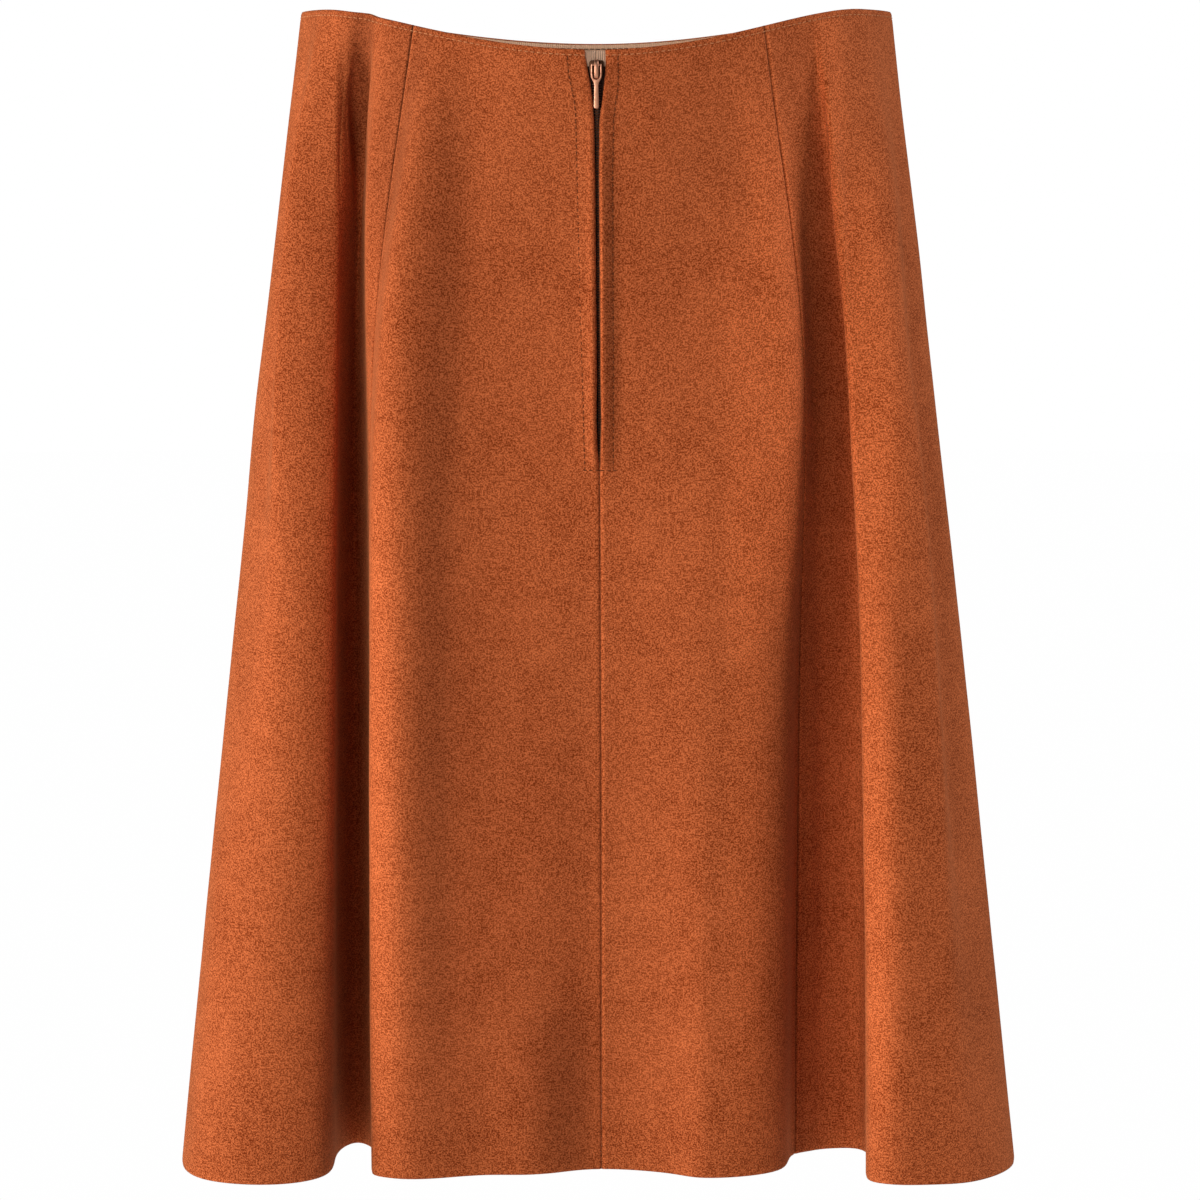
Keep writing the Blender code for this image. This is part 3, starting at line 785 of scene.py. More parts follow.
def bake_modifiers(thing):
    """Turn an object with modifiers into a plain mesh object of the same name."""
    bpy.context.view_layer.update()
    graph = bpy.context.evaluated_depsgraph_get()
    mesh = bpy.data.meshes.new_from_object(thing.evaluated_get(graph))
    name = thing.name
    old = thing.data
    bpy.data.objects.remove(thing, do_unlink=True)
    if isinstance(old, bpy.types.Mesh):
        bpy.data.meshes.remove(old)
    elif isinstance(old, bpy.types.Curve):
        bpy.data.curves.remove(old)
    mesh.name = name
    return add_object(name, mesh)


def path_object(name, points, normals):
    """Line of points, each with the direction out of the cloth as an attribute."""
    mesh = bpy.data.meshes.new(name)
    edges = [(i, i + 1) for i in range(len(points) - 1)]
    mesh.from_pydata([tuple(point) for point in points], edges, [])
    attribute = mesh.attributes.new("out", "FLOAT_VECTOR", "POINT")
    attribute.data.foreach_set("vector", np.array(normals, dtype=np.float32).reshape(-1))
    return add_object(name, mesh)


def flat_plate(name, outlines, thickness, rounding, resolution=3):
    """Plate cut to smooth outlines in x and z, with rounded edges, centred on y."""
    curve = bpy.data.curves.new(name, "CURVE")
    curve.dimensions = "2D"
    curve.fill_mode = "BOTH"
    curve.extrude = thickness / 2.0 - rounding
    curve.bevel_depth = rounding
    curve.bevel_resolution = resolution
    curve.offset = -rounding
    for outline in outlines:
        spline = curve.splines.new("POLY")
        spline.points.add(len(outline) - 1)
        for point, (x, z) in zip(spline.points, outline):
            point.co = (x, z, 0.0, 1.0)
        spline.use_cyclic_u = True
    plate = bake_modifiers(add_object(name, curve))
    work = bmesh.new()
    work.from_mesh(plate.data)
    bmesh.ops.remove_doubles(work, verts=work.verts, dist=PLATE_MERGE)
    bmesh.ops.recalc_face_normals(work, faces=work.faces)
    work.to_mesh(plate.data)
    work.free()
    plate.data.transform(Matrix.Rotation(pi / 2.0, 4, "X"))
    return plate


def smooth_outline(corners, rounding, steps=6):
    """Closed outline through corners, each rounded by an arc of its own size."""
    outline = []
    count = len(corners)
    for i, (x, z) in enumerate(corners):
        corner = Vector((x, z))
        before = Vector(corners[i - 1]) - corner
        after = Vector(corners[(i + 1) % count]) - corner
        reach = min(rounding[i], before.length * 0.48, after.length * 0.48)
        start = corner + before.normalized() * reach
        end = corner + after.normalized() * reach
        for step in range(steps + 1):
            t = step / steps
            outline.append(tuple(start.lerp(corner, t).lerp(corner.lerp(end, t), t)))
    return outline


def both_sides(half):
    """Whole outline from its half at +x, listed from top to bottom."""
    return list(half) + [(-x, z) for x, z in reversed(half)]


def set_smooth(thing, angle_deg=35.0):
    """Smooth shading up to an angle."""
    thing.data.polygons.foreach_set("use_smooth", [True] * len(thing.data.polygons))
    thing.data.set_sharp_from_angle(angle=radians(angle_deg))


def finish_piece(thing, replaced=(), body="skirt"):
    """Hang a finished piece on its body and hide the parts it stands in for."""
    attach(thing, body)
    if replaced:
        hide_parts(*replaced)


# Shader groups ---------------------------------------------------------------------------------

def add_inputs(tree, inputs):
    """Named inputs of a node tree, each a name, a kind and a default."""
    for label, kind, default in inputs:
        socket = tree.interface.new_socket(name=label, in_out="INPUT", socket_type=kind)
        if default is not None:
            socket.default_value = default


def new_group(name, inputs, outputs):
    """Shader group with named inputs and named number outputs."""
    group = bpy.data.node_groups.new(name, "ShaderNodeTree")
    add_inputs(group, inputs)
    for label in outputs:
        group.interface.new_socket(name=label, in_out="OUTPUT", socket_type=FLOAT)
    return group, group.nodes.new("NodeGroupInput"), group.nodes.new("NodeGroupOutput")


def feed(tree, socket, value):
    """Link a value that is a socket, or set one that is not."""
    if isinstance(value, bpy.types.NodeSocket):
        tree.links.new(value, socket)
    else:
        socket.default_value = value


def add_node(tree, kind, inputs=None, **settings):
    """Node with its settings, and its inputs given as values or as sockets to link."""
    node = tree.nodes.new(kind)
    for name, value in settings.items():
        setattr(node, name, value)
    for name, value in (inputs or {}).items():
        feed(tree, node.inputs[name], value)
    return node


def math_node(tree, operation, first, second=0.5):
    """Output of a maths node."""
    node = add_node(tree, "ShaderNodeMath", operation=operation)
    feed(tree, node.inputs[0], first)
    feed(tree, node.inputs[1], second)
    return node.outputs[0]


def weighted_sum(tree, *terms):
    """Sum of sockets, each times its weight."""
    total = 0.0
    for socket, weight in terms:
        total = math_node(tree, "ADD", total, math_node(tree, "MULTIPLY", socket, weight))
    return total


def range_node(tree, value, low, high, new_low=0.0, new_high=1.0):
    """Output of a clamped map range node."""
    node = add_node(tree, "ShaderNodeMapRange", {
        "Value": value, "From Min": low, "From Max": high,
        "To Min": new_low, "To Max": new_high})
    return node.outputs["Result"]


def noise_value(tree, vector, scale, detail=2.0, roughness=0.5, distortion=0.0):
    """Output of a noise texture."""
    node = add_node(tree, "ShaderNodeTexNoise", {
        "Vector": vector, "Scale": scale, "Detail": detail, "Roughness": roughness,
        "Distortion": distortion})
    return node.outputs["Fac"]


def mix_colours(tree, factor, first, second):
    """Output of a colour mix."""
    node = add_node(tree, "ShaderNodeMix", data_type="RGBA")
    for index, value in ((0, factor), (6, first), (7, second)):
        feed(tree, node.inputs[index], value)
    return node.outputs[2]


def nap_group():
    """Brushed nap: speckle, tufts and larger patches where it lies another way."""
    group, entry, leave = new_group(
        "brushed_nap",
        (("Vector", VECTOR, None), ("Grain size", FLOAT, 0.0013), ("Patch size", FLOAT, 0.016)),
        ("Speckle", "Patches", "Broad", "Height"))
    vector = entry.outputs["Vector"]
    fine_scale = math_node(group, "DIVIDE", 1.0, entry.outputs["Grain size"])
    tuft_scale = math_node(group, "MULTIPLY", fine_scale, 0.36)
    patch_scale = math_node(group, "DIVIDE", 1.0, entry.outputs["Patch size"])
    broad_scale = math_node(group, "MULTIPLY", patch_scale, 0.22)
    fine = noise_value(group, vector, fine_scale, detail=1.0)
    tufts = noise_value(group, vector, tuft_scale, roughness=0.6, distortion=0.8)
    patches = noise_value(group, vector, patch_scale, detail=3.0, roughness=0.55,
                          distortion=0.6)
    broad = noise_value(group, vector, broad_scale, distortion=0.3)
    speckle = weighted_sum(group, (fine, 0.68), (tufts, 0.32))
    height = weighted_sum(group, (speckle, 1.0), (patches, 0.5))
    group.links.new(range_node(group, speckle, 0.41, 0.59), leave.inputs["Speckle"])
    group.links.new(range_node(group, patches, 0.32, 0.68), leave.inputs["Patches"])
    group.links.new(range_node(group, broad, 0.30, 0.70), leave.inputs["Broad"])
    group.links.new(height, leave.inputs["Height"])
    return group


def rib_group():
    """Woven ribs that run down a tape or a facing."""
    group, entry, leave = new_group(
        "woven_ribs",
        (("Vector", VECTOR, None), ("Rib width", FLOAT, 0.001), ("Weft width", FLOAT, 0.0006)),
        ("Ribs", "Height", "Shade"))
    parts = add_node(group, "ShaderNodeSeparateXYZ", {"Vector": entry.outputs["Vector"]})

    def ripple(along, width):
        turns = math_node(group, "DIVIDE", along, width)
        wave = math_node(group, "SINE", math_node(group, "MULTIPLY", turns, 2.0 * pi))
        return range_node(group, wave, -1.0, 1.0)

    ribs = ripple(parts.outputs["X"], entry.outputs["Rib width"])
    weft = ripple(parts.outputs["Y"], entry.outputs["Weft width"])
    shade = noise_value(group, entry.outputs["Vector"], 900.0, roughness=0.6)
    group.links.new(ribs, leave.inputs["Ribs"])
    group.links.new(weighted_sum(group, (ribs, 1.0), (weft, 0.3)), leave.inputs["Height"])
    group.links.new(shade, leave.inputs["Shade"])
    return group


def wear_group():
    """Rubbed marks and fine scratches on metal."""
    group, entry, leave = new_group(
        "rubbed_metal", (("Vector", VECTOR, None), ("Mark size", FLOAT, 0.0015)),
        ("Marks", "Height"))
    vector = entry.outputs["Vector"]
    scale = math_node(group, "DIVIDE", 1.0, entry.outputs["Mark size"])
    marks = noise_value(group, vector, scale, detail=4.0, roughness=0.7)
    fine = noise_value(group, vector, math_node(group, "MULTIPLY", scale, 7.0))
    group.links.new(range_node(group, marks, 0.3, 0.7), leave.inputs["Marks"])
    group.links.new(fine, leave.inputs["Height"])
    return group


def use_group(tree, group, **inputs):
    """Place a shader group in a material."""
    node = tree.nodes.new("ShaderNodeGroup")
    node.node_tree = group
    for name, value in inputs.items():
        feed(tree, node.inputs[name.replace("_", " ")], value)
    return node


def shared_group(maker, name):
    """A shader group, made the first time it is asked for."""
    found = bpy.data.node_groups.get(name)
    return found if found else maker()


# Materials -------------------------------------------------------------------------------------

def new_material(name):
    """Material with its tree and its shader."""
    material = bpy.data.materials.new(name)
    material.use_nodes = True
    return material, material.node_tree, material.node_tree.nodes["Principled BSDF"]


def add_bump(tree, shader, height, strength, distance):
    """Bump from a height."""
    bump = add_node(tree, "ShaderNodeBump", {
        "Height": height, "Strength": strength, "Distance": distance})
    tree.links.new(bump.outputs["Normal"], shader.inputs["Normal"])


def set_inputs(shader, values):
    """Constant values for a shader's sockets, by their names."""
    for name, value in values.items():
        shader.inputs[name].default_value = value


def dimmed(colour, share):
    """A colour at a share of its strength."""
    return [channel * share for channel in colour[:3]] + [1.0]


def object_map(tree):
    """Places on a hard piece, in its own metres."""
    return add_node(tree, "ShaderNodeTexCoord").outputs["Object"]


def cloth_map(tree):
    """The cloth's own map, in metres round and down it."""
    return add_node(tree, "ShaderNodeUVMap", uv_map="cloth").outputs["UV"]


def suede_material(look):
    """Napped suede: speckled, brushed in patches, bright at its edges, and lightened or darkened
    by painted light and shade along its folds and seams.
    """
    material, tree, shader = new_material("rust_suede")
    nap = use_group(tree, shared_group(nap_group, "brushed_nap"), Vector=cloth_map(tree),
                    Grain_size=look.grain_size, Patch_size=look.patch_size)
    lay = weighted_sum(tree, (nap.outputs["Speckle"], 0.72), (nap.outputs["Patches"], 0.14),
                       (nap.outputs["Broad"], 0.14))
    colour = mix_colours(tree, lay, tuple(look.dark), tuple(look.light))
    # Painted light and shade, partly nap: the points' value lightens or darkens the colour
    lean = add_node(tree, "ShaderNodeAttribute", attribute_name="nap_and_painted_shading").outputs["Fac"]
    brushed = add_node(tree, "ShaderNodeHueSaturation", {
        "Color": colour, "Value": math_node(tree, "ADD", lean, 1.0)})
    tree.links.new(brushed.outputs["Color"], shader.inputs["Base Color"])
    tree.links.new(range_node(tree, lay, 0.0, 1.0, 0.98, 0.86), shader.inputs["Roughness"])
    set_inputs(shader, {"Specular IOR Level": 0.08, "Sheen Weight": 0.38,
                        "Sheen Roughness": 0.42, "Sheen Tint": (1.0, 0.42, 0.18, 1.0)})
    add_bump(tree, shader, nap.outputs["Height"], strength=0.75, distance=0.0005)
    return material


def reverse_material(look):
    """The suede's unlined inside, paler and flatter."""
    material, tree, shader = new_material("suede_reverse")
    nap = use_group(tree, shared_group(nap_group, "brushed_nap"), Vector=cloth_map(tree),
                    Grain_size=look.grain_size * 1.6, Patch_size=look.patch_size * 2.2)
    lay = weighted_sum(tree, (nap.outputs["Speckle"], 0.6), (nap.outputs["Patches"], 0.4))
    colour = mix_colours(tree, lay, dimmed(look.reverse, 0.62), tuple(look.reverse))
    tree.links.new(colour, shader.inputs["Base Color"])
    set_inputs(shader, {"Roughness": 0.95, "Specular IOR Level": 0.15, "Sheen Weight": 0.2,
                        "Sheen Tint": (1.0, 0.7, 0.5, 1.0)})
    add_bump(tree, shader, nap.outputs["Height"], strength=0.5, distance=0.0004)
    return material


def woven_material(name, colour, rib, weft, roughness, ribs_dark, sheen):
    """Ribbed woven stuff, for the facing and the tapes."""
    material, tree, shader = new_material(name)
    ribs = use_group(tree, shared_group(rib_group, "woven_ribs"), Vector=cloth_map(tree),
                     Rib_width=rib, Weft_width=weft)
    dark = dimmed(colour, ribs_dark)
    shade = mix_colours(tree, ribs.outputs["Ribs"], dark, tuple(colour))
    fleck = mix_colours(tree, range_node(tree, ribs.outputs["Shade"], 0.3, 0.7, 0.0, 0.35),
                        shade, dark)
    tree.links.new(fleck, shader.inputs["Base Color"])
    set_inputs(shader, {"Roughness": roughness, "Specular IOR Level": 0.15,
                        "Sheen Weight": sheen, "Sheen Tint": tuple(colour)})
    add_bump(tree, shader, ribs.outputs["Height"], strength=0.8, distance=0.0002)
    return material


def thread_material(name, colour):
    """Twisted thread."""
    material, tree, shader = new_material(name)
    twist = noise_value(tree, object_map(tree), 2600.0, roughness=0.6)
    shade = mix_colours(tree, range_node(tree, twist, 0.35, 0.65), dimmed(colour, 0.6),
                        tuple(colour))
    tree.links.new(shade, shader.inputs["Base Color"])
    set_inputs(shader, {"Roughness": 0.7, "Specular IOR Level": 0.1})
    add_bump(tree, shader, twist, strength=0.5, distance=0.0001)
    return material


def metal_material(name, colour, roughness, mark_size):
    """Plated metal with rubbed marks."""
    material, tree, shader = new_material(name)
    wear = use_group(tree, shared_group(wear_group, "rubbed_metal"), Vector=object_map(tree),
                     Mark_size=mark_size)
    marks = wear.outputs["Marks"]
    shade = mix_colours(tree, marks, dimmed(colour, 0.72), tuple(colour))
    tree.links.new(shade, shader.inputs["Base Color"])
    rubbed = range_node(tree, marks, 0.0, 1.0, roughness + 0.14, roughness)
    tree.links.new(rubbed, shader.inputs["Roughness"])
    set_inputs(shader, {"Metallic": 1.0})
    add_bump(tree, shader, wear.outputs["Height"], strength=0.12, distance=0.00005)
    return material


def coil_material():
    """Dark moulded coil."""
    material, tree, shader = new_material("zip_coil")
    mottle = noise_value(tree, object_map(tree), 1500.0)
    shade = mix_colours(tree, mottle, (0.030, 0.010, 0.004, 1.0), (0.075, 0.026, 0.010, 1.0))
    tree.links.new(shade, shader.inputs["Base Color"])
    set_inputs(shader, {"Roughness": 0.5})
    return material


# Geometry Nodes ----------------------------------------------------------------------------------

def geometry_tree(name, inputs):
    """Geometry tree with a geometry in and out, and named inputs with defaults."""
    tree = bpy.data.node_groups.new(name, "GeometryNodeTree")
    tree.interface.new_socket(name="Geometry", in_out="INPUT", socket_type="NodeSocketGeometry")
    add_inputs(tree, inputs)
    tree.interface.new_socket(name="Geometry", in_out="OUTPUT", socket_type="NodeSocketGeometry")
    return tree, tree.nodes.new("NodeGroupInput"), tree.nodes.new("NodeGroupOutput")


def join_vector(tree, x=0.0, y=0.0, z=0.0):
    """Vector from three values or sockets."""
    return add_node(tree, "ShaderNodeCombineXYZ", {"X": x, "Y": y, "Z": z}).outputs["Vector"]


def along_path(tree, entry, spacing):
    """Points spaced along a path, with the turn that sets X along it and Z out of the cloth."""
    curve = add_node(tree, "GeometryNodeMeshToCurve", {"Mesh": entry.outputs["Geometry"]})
    spaced = add_node(tree, "GeometryNodeResampleCurve", {
        "Curve": curve.outputs["Curve"], "Length": spacing}, mode="LENGTH")
    tangent = add_node(tree, "GeometryNodeInputTangent").outputs["Tangent"]
    out = add_node(tree, "GeometryNodeInputNamedAttribute", {"Name": "out"},
                   data_type="FLOAT_VECTOR").outputs["Attribute"]
    first = add_node(tree, "FunctionNodeAlignRotationToVector", {"Vector": tangent}, axis="X")
    second = add_node(tree, "FunctionNodeAlignRotationToVector", {
        "Rotation": first.outputs["Rotation"], "Vector": out}, axis="Z", pivot_axis="X")
    return spaced.outputs["Curve"], second.outputs["Rotation"]


def end_tree(tree, entry, leave, placed):
    """Realize what was placed and give it its material."""
    real = add_node(tree, "GeometryNodeRealizeInstances", {"Geometry": placed})
    smooth = add_node(tree, "GeometryNodeSetShadeSmooth", {"Geometry": real.outputs["Geometry"]})
    painted = add_node(tree, "GeometryNodeSetMaterial", {
        "Geometry": smooth.outputs["Geometry"], "Material": entry.outputs["Material"]})
    tree.links.new(painted.outputs["Geometry"], leave.inputs["Geometry"])


def stitch_tree():
    """A row of stitches, each a short arch of thread with its ends in the cloth."""
    tree, entry, leave = geometry_tree("stitch_row", (
        ("Pitch", FLOAT, 0.003), ("Stitch length", FLOAT, 0.00225),
        ("Thread radius", FLOAT, 0.0002), ("Rise", FLOAT, 0.0006), ("Sink", FLOAT, 0.0003),
        ("Seed", "NodeSocketInt", 3), ("Material", "NodeSocketMaterial", None)))
    points, turn = along_path(tree, entry, entry.outputs["Pitch"])
    half = math_node(tree, "MULTIPLY", entry.outputs["Stitch length"], 0.5)
    back = math_node(tree, "MULTIPLY", half, -1.0)
    below = math_node(tree, "MULTIPLY", entry.outputs["Sink"], -1.0)
    arch = add_node(tree, "GeometryNodeCurveQuadraticBezier", {
        "Resolution": 5, "Start": join_vector(tree, back, 0.0, below),
        "Middle": join_vector(tree, 0.0, 0.0, entry.outputs["Rise"]),
        "End": join_vector(tree, half, 0.0, below)})
    thread = add_node(tree, "GeometryNodeCurvePrimitiveCircle", {
        "Resolution": 6, "Radius": entry.outputs["Thread radius"]})
    body = add_node(tree, "GeometryNodeCurveToMesh", {
        "Curve": arch.outputs["Curve"], "Profile Curve": thread.outputs["Curve"],
        "Fill Caps": True})
    wobble = add_node(tree, "FunctionNodeRandomValue", {
        "Min": (-0.03, -0.03, -0.09), "Max": (0.03, 0.03, 0.09),
        "Seed": entry.outputs["Seed"]}, data_type="FLOAT_VECTOR")
    tilt = add_node(tree, "FunctionNodeEulerToRotation", {"Euler": wobble.outputs["Value"]})
    turned = add_node(tree, "FunctionNodeRotateRotation", {
        "Rotation": turn, "Rotate By": tilt.outputs["Rotation"]}, rotation_space="LOCAL")
    placed = add_node(tree, "GeometryNodeInstanceOnPoints", {
        "Points": points, "Instance": body.outputs["Mesh"],
        "Rotation": turned.outputs["Rotation"]})
    end_tree(tree, entry, leave, placed.outputs["Instances"])
    return tree


def coil_tree():
    """One side of the zip's coil: turns that reach from the tape over the middle."""
    tree, entry, leave = geometry_tree("zip_coil_row", (
        ("Pitch", FLOAT, 0.00125), ("Reach", FLOAT, 0.0022), ("Over middle", FLOAT, 0.0002),
        ("Wire radius", FLOAT, 0.0003), ("Height", FLOAT, 0.0012),
        ("Material", "NodeSocketMaterial", None)))
    points, turn = along_path(tree, entry, entry.outputs["Pitch"])
    over = math_node(tree, "MULTIPLY", entry.outputs["Over middle"], -1.0)
    arch = add_node(tree, "GeometryNodeCurveQuadraticBezier", {
        "Resolution": 5, "Start": join_vector(tree, 0.0, entry.outputs["Reach"], 0.0),
        "Middle": join_vector(tree, 0.0, 0.0, entry.outputs["Height"]),
        "End": join_vector(tree, 0.0, over, 0.0)})
    wire = add_node(tree, "GeometryNodeCurvePrimitiveCircle", {
        "Resolution": 6, "Radius": entry.outputs["Wire radius"]})
    body = add_node(tree, "GeometryNodeCurveToMesh", {
        "Curve": arch.outputs["Curve"], "Profile Curve": wire.outputs["Curve"],
        "Fill Caps": True})
    placed = add_node(tree, "GeometryNodeInstanceOnPoints", {
        "Points": points, "Instance": body.outputs["Mesh"], "Rotation": turn})
    end_tree(tree, entry, leave, placed.outputs["Instances"])
    return tree


def grow(thing, maker, tree_name, **inputs):
    """Run a geometry tree on a path and keep the result as a plain mesh."""
    tree = shared_group(maker, tree_name)
    modifier = thing.modifiers.new("grow", "NODES")
    modifier.node_group = tree
    for name, value in inputs.items():
        label = name.replace("_", " ")
        modifier[tree.interface.items_tree[label].identifier] = value
    return bake_modifiers(thing)


# Operators -------------------------------------------------------------------------------------

def current_skirt(scene):
    """The skirt's form from the scene's sizes."""
    return Skirt(scene.skirt_sizes, scene.skirt_stitches, scene.skirt_stage.samples_seed)


class SKIRT_OT_gores(bpy.types.Operator):
    """Lay the suede gores over their solids, with creases, seams and placket"""

    bl_idname = "skirt.gores"
    bl_label = "Suede gores"

    def execute(self, context):
        scene = context.scene
        skirt = current_skirt(scene)
        suede = suede_material(scene.skirt_suede)
        reverse = reverse_material(scene.skirt_suede)
        shares = length_shares()
        for gore in GORES:
            rows = []
            leans = []
            for share in shares:
                places = strip_columns(skirt, gore, share)
                rows.append(skirt.points(places, share)[0])
                leans.append(skirt.nap_and_painted_shading(places, share))
            cloth = grid_object("suede_" + gore.name, rows, (suede, reverse))
            # Painted light and shade for the suede's colour, partly nap, kept on the points
            layer = cloth.data.attributes.new("nap_and_painted_shading", "FLOAT", "POINT")
            layer.data.foreach_set("value", np.concatenate(leans).astype(np.float32))
            give_wall(cloth, scene.skirt_sizes.suede_wall, inner_slot=1)
            finish_piece(cloth, (gore.name,))
        return {"FINISHED"}


class SKIRT_OT_facings(bpy.types.Operator):
    """Line the inside of the rim with its facing"""

    bl_idname = "skirt.facings"
    bl_label = "Facings"

    TOP_MM = 0.7
    ROWS = 12
    STRIPS = 5
    BEHIND_SUEDE = 0.0005
    FROM_ZIP_MM = 17.5
    FROM_SEAM_MM = 0.2

    def execute(self, context):
        scene = context.scene
        sizes = scene.skirt_sizes
        skirt = current_skirt(scene)
        cloth = woven_material("peach_facing", scene.skirt_zip.facing, rib=0.0011,
                               weft=0.0009, roughness=0.55, ribs_dark=0.82, sheen=0.3)
        left = FOLD_NAMES.index("left side seam")
        right = FOLD_NAMES.index("right side seam")
        depth = (sizes.suede_wall + self.BEHIND_SUEDE) / MM
        drops = np.linspace(self.TOP_MM, sizes.facing_depth / MM, self.ROWS)
        strips = (("back_facing_right", 0, right, "suede_side_back_right"),
                  ("front_facing", right, left, "suede_centre_front"),
                  ("back_facing_left", left, AROUND, "suede_side_back_left"))
        for name, first, last, suede in strips:
            rows = []
            for drop in drops:
                share = drop / LENGTH_MM
                low = skirt.beyond(first, self.gap_mm(first), share)
                high = skirt.beyond(last, -self.gap_mm(last), share)
                places = np.linspace(low, high, (last - first) * self.STRIPS)
                out = skirt.normals(places, share)
                proud = skirt.crease_mm(places, drop, skirt.stretch(places, share))
                sunk = (depth - proud)[:, None] * MM
                rows.append(skirt.smooth(places, share) - out * sunk)
            facing = grid_object("facing_" + name, rows, (cloth,))
            give_wall(facing, sizes.facing_wall)
            finish_piece(facing, (name,))
        return {"FINISHED"}

    def gap_mm(self, fold):
        """How far a facing stops short of a fold line, more at the zip than at a seam."""
        return self.FROM_ZIP_MM if fold % AROUND == 0 else self.FROM_SEAM_MM


class SKIRT_OT_zip_tapes(bpy.types.Operator):
    """Set the two zip tapes behind the opening"""

    bl_idname = "skirt.zip_tapes"
    bl_label = "Zip tapes"

    COLUMNS = 14
    SHADED_COLUMNS = 8
    SHADED_BELOW_MM = 8.0
    DROPS = np.concatenate((np.linspace(0.5, 30.0, 24), np.linspace(33.0, 208.0, 60)))
    WALL = 0.0006
    CUT = (0.0102, 0.208)

    def execute(self, context):
        scene = context.scene
        look = scene.skirt_zip
        skirt = current_skirt(scene)
        ribbed = woven_material("zip_tape_weave", look.tape, rib=0.0010, weft=0.0005,
                                roughness=0.8, ribs_dark=0.45, sheen=0.2)
        # A dark copy of the tape's weave: painted shade where the tape sinks back beside the coil
        # below the slider
        shaded = woven_material("zip_tape_painted_shade", (0.035, 0.014, 0.008, 1.0), rib=0.0010,
                                weft=0.0005, roughness=0.7, ribs_dark=0.5, sheen=0.1)
        for side, name in ((1, "right"), (-1, "left")):
            rows = [self.row(skirt, side, drop, look.tape_width / MM) for drop in self.DROPS]
            tape = grid_object("woven_zip_tape_" + name, rows, (ribbed, shaded))
            for face in tape.data.polygons:
                row, column = divmod(face.index, self.COLUMNS - 1)
                near = column if side > 0 else self.COLUMNS - 2 - column
                # Faces below the slider and near the middle take the painted shade
                in_painted_shade = self.DROPS[row] > self.SHADED_BELOW_MM and near < self.SHADED_COLUMNS
                face.material_index = 1 if in_painted_shade else 0
            give_wall(tape, self.WALL)
            finish_piece(tape, ("zip_tape_" + name,))
        return {"FINISHED"}

    def row(self, skirt, side, drop, width_mm):
        """Points across one tape, which sinks back and opens a little round the coil."""
        share = drop / LENGTH_MM
        inner = 0.12 + 0.55 * smooth_step(drop, 4.0, 16.0)
        distances = np.linspace(inner, width_mm, self.COLUMNS)
        stretch = float(skirt.stretch(np.array([0.0]), share)[0])
        places = side * distances / stretch
        out = skirt.normals(places, share)
        sunk = 2.0 + 1.6 * smooth_step(drop, 6.0, 18.0) * np.exp(-(distances / 5.0) ** 2)
        points = skirt.smooth(places, share) - out * sunk[:, None] * MM
        return points if side > 0 else points[::-1]


class SKIRT_OT_zip_coil(bpy.types.Operator):
    """Run the closed coil down between the tapes"""

    bl_idname = "skirt.zip_coil"
    bl_label = "Zip coil"

    TOP_MM = 17.0
    POINTS = 120
    BEHIND_MM = 2.9

    def execute(self, context):
        scene = context.scene
        skirt = current_skirt(scene)
        coil = coil_material()
        place = np.array([0.0])
        spots = []
        for drop in np.linspace(self.TOP_MM, CLOSING_MM, self.POINTS):
            out = skirt.normals(place, drop / LENGTH_MM)[0]
            point = skirt.smooth(place, drop / LENGTH_MM)[0]
            spots.append((point - out * self.BEHIND_MM * MM, out))
        for name, path in (("coil_right", spots), ("coil_left", spots[::-1])):
            row = grow(path_object(name, *zip(*path)), coil_tree, "zip_coil_row",
                       Pitch=scene.skirt_zip.coil_pitch, Material=coil)
            finish_piece(row)
        return {"FINISHED"}


def zip_frame(skirt, drop):
    """Matrix that sets a piece on the zip, its z up along it and its -y out of the cloth."""
    share = drop / LENGTH_MM
    place = np.array([0.0])
    point = Vector(skirt.smooth(place, share)[0])
    down = Vector(skirt.smooth(place, share + 0.01)[0]) - point
    lean = -np.arctan2(down.y, -down.z)
    return Matrix.Translation(point) @ Matrix.Rotation(float(lean), 4, "X")


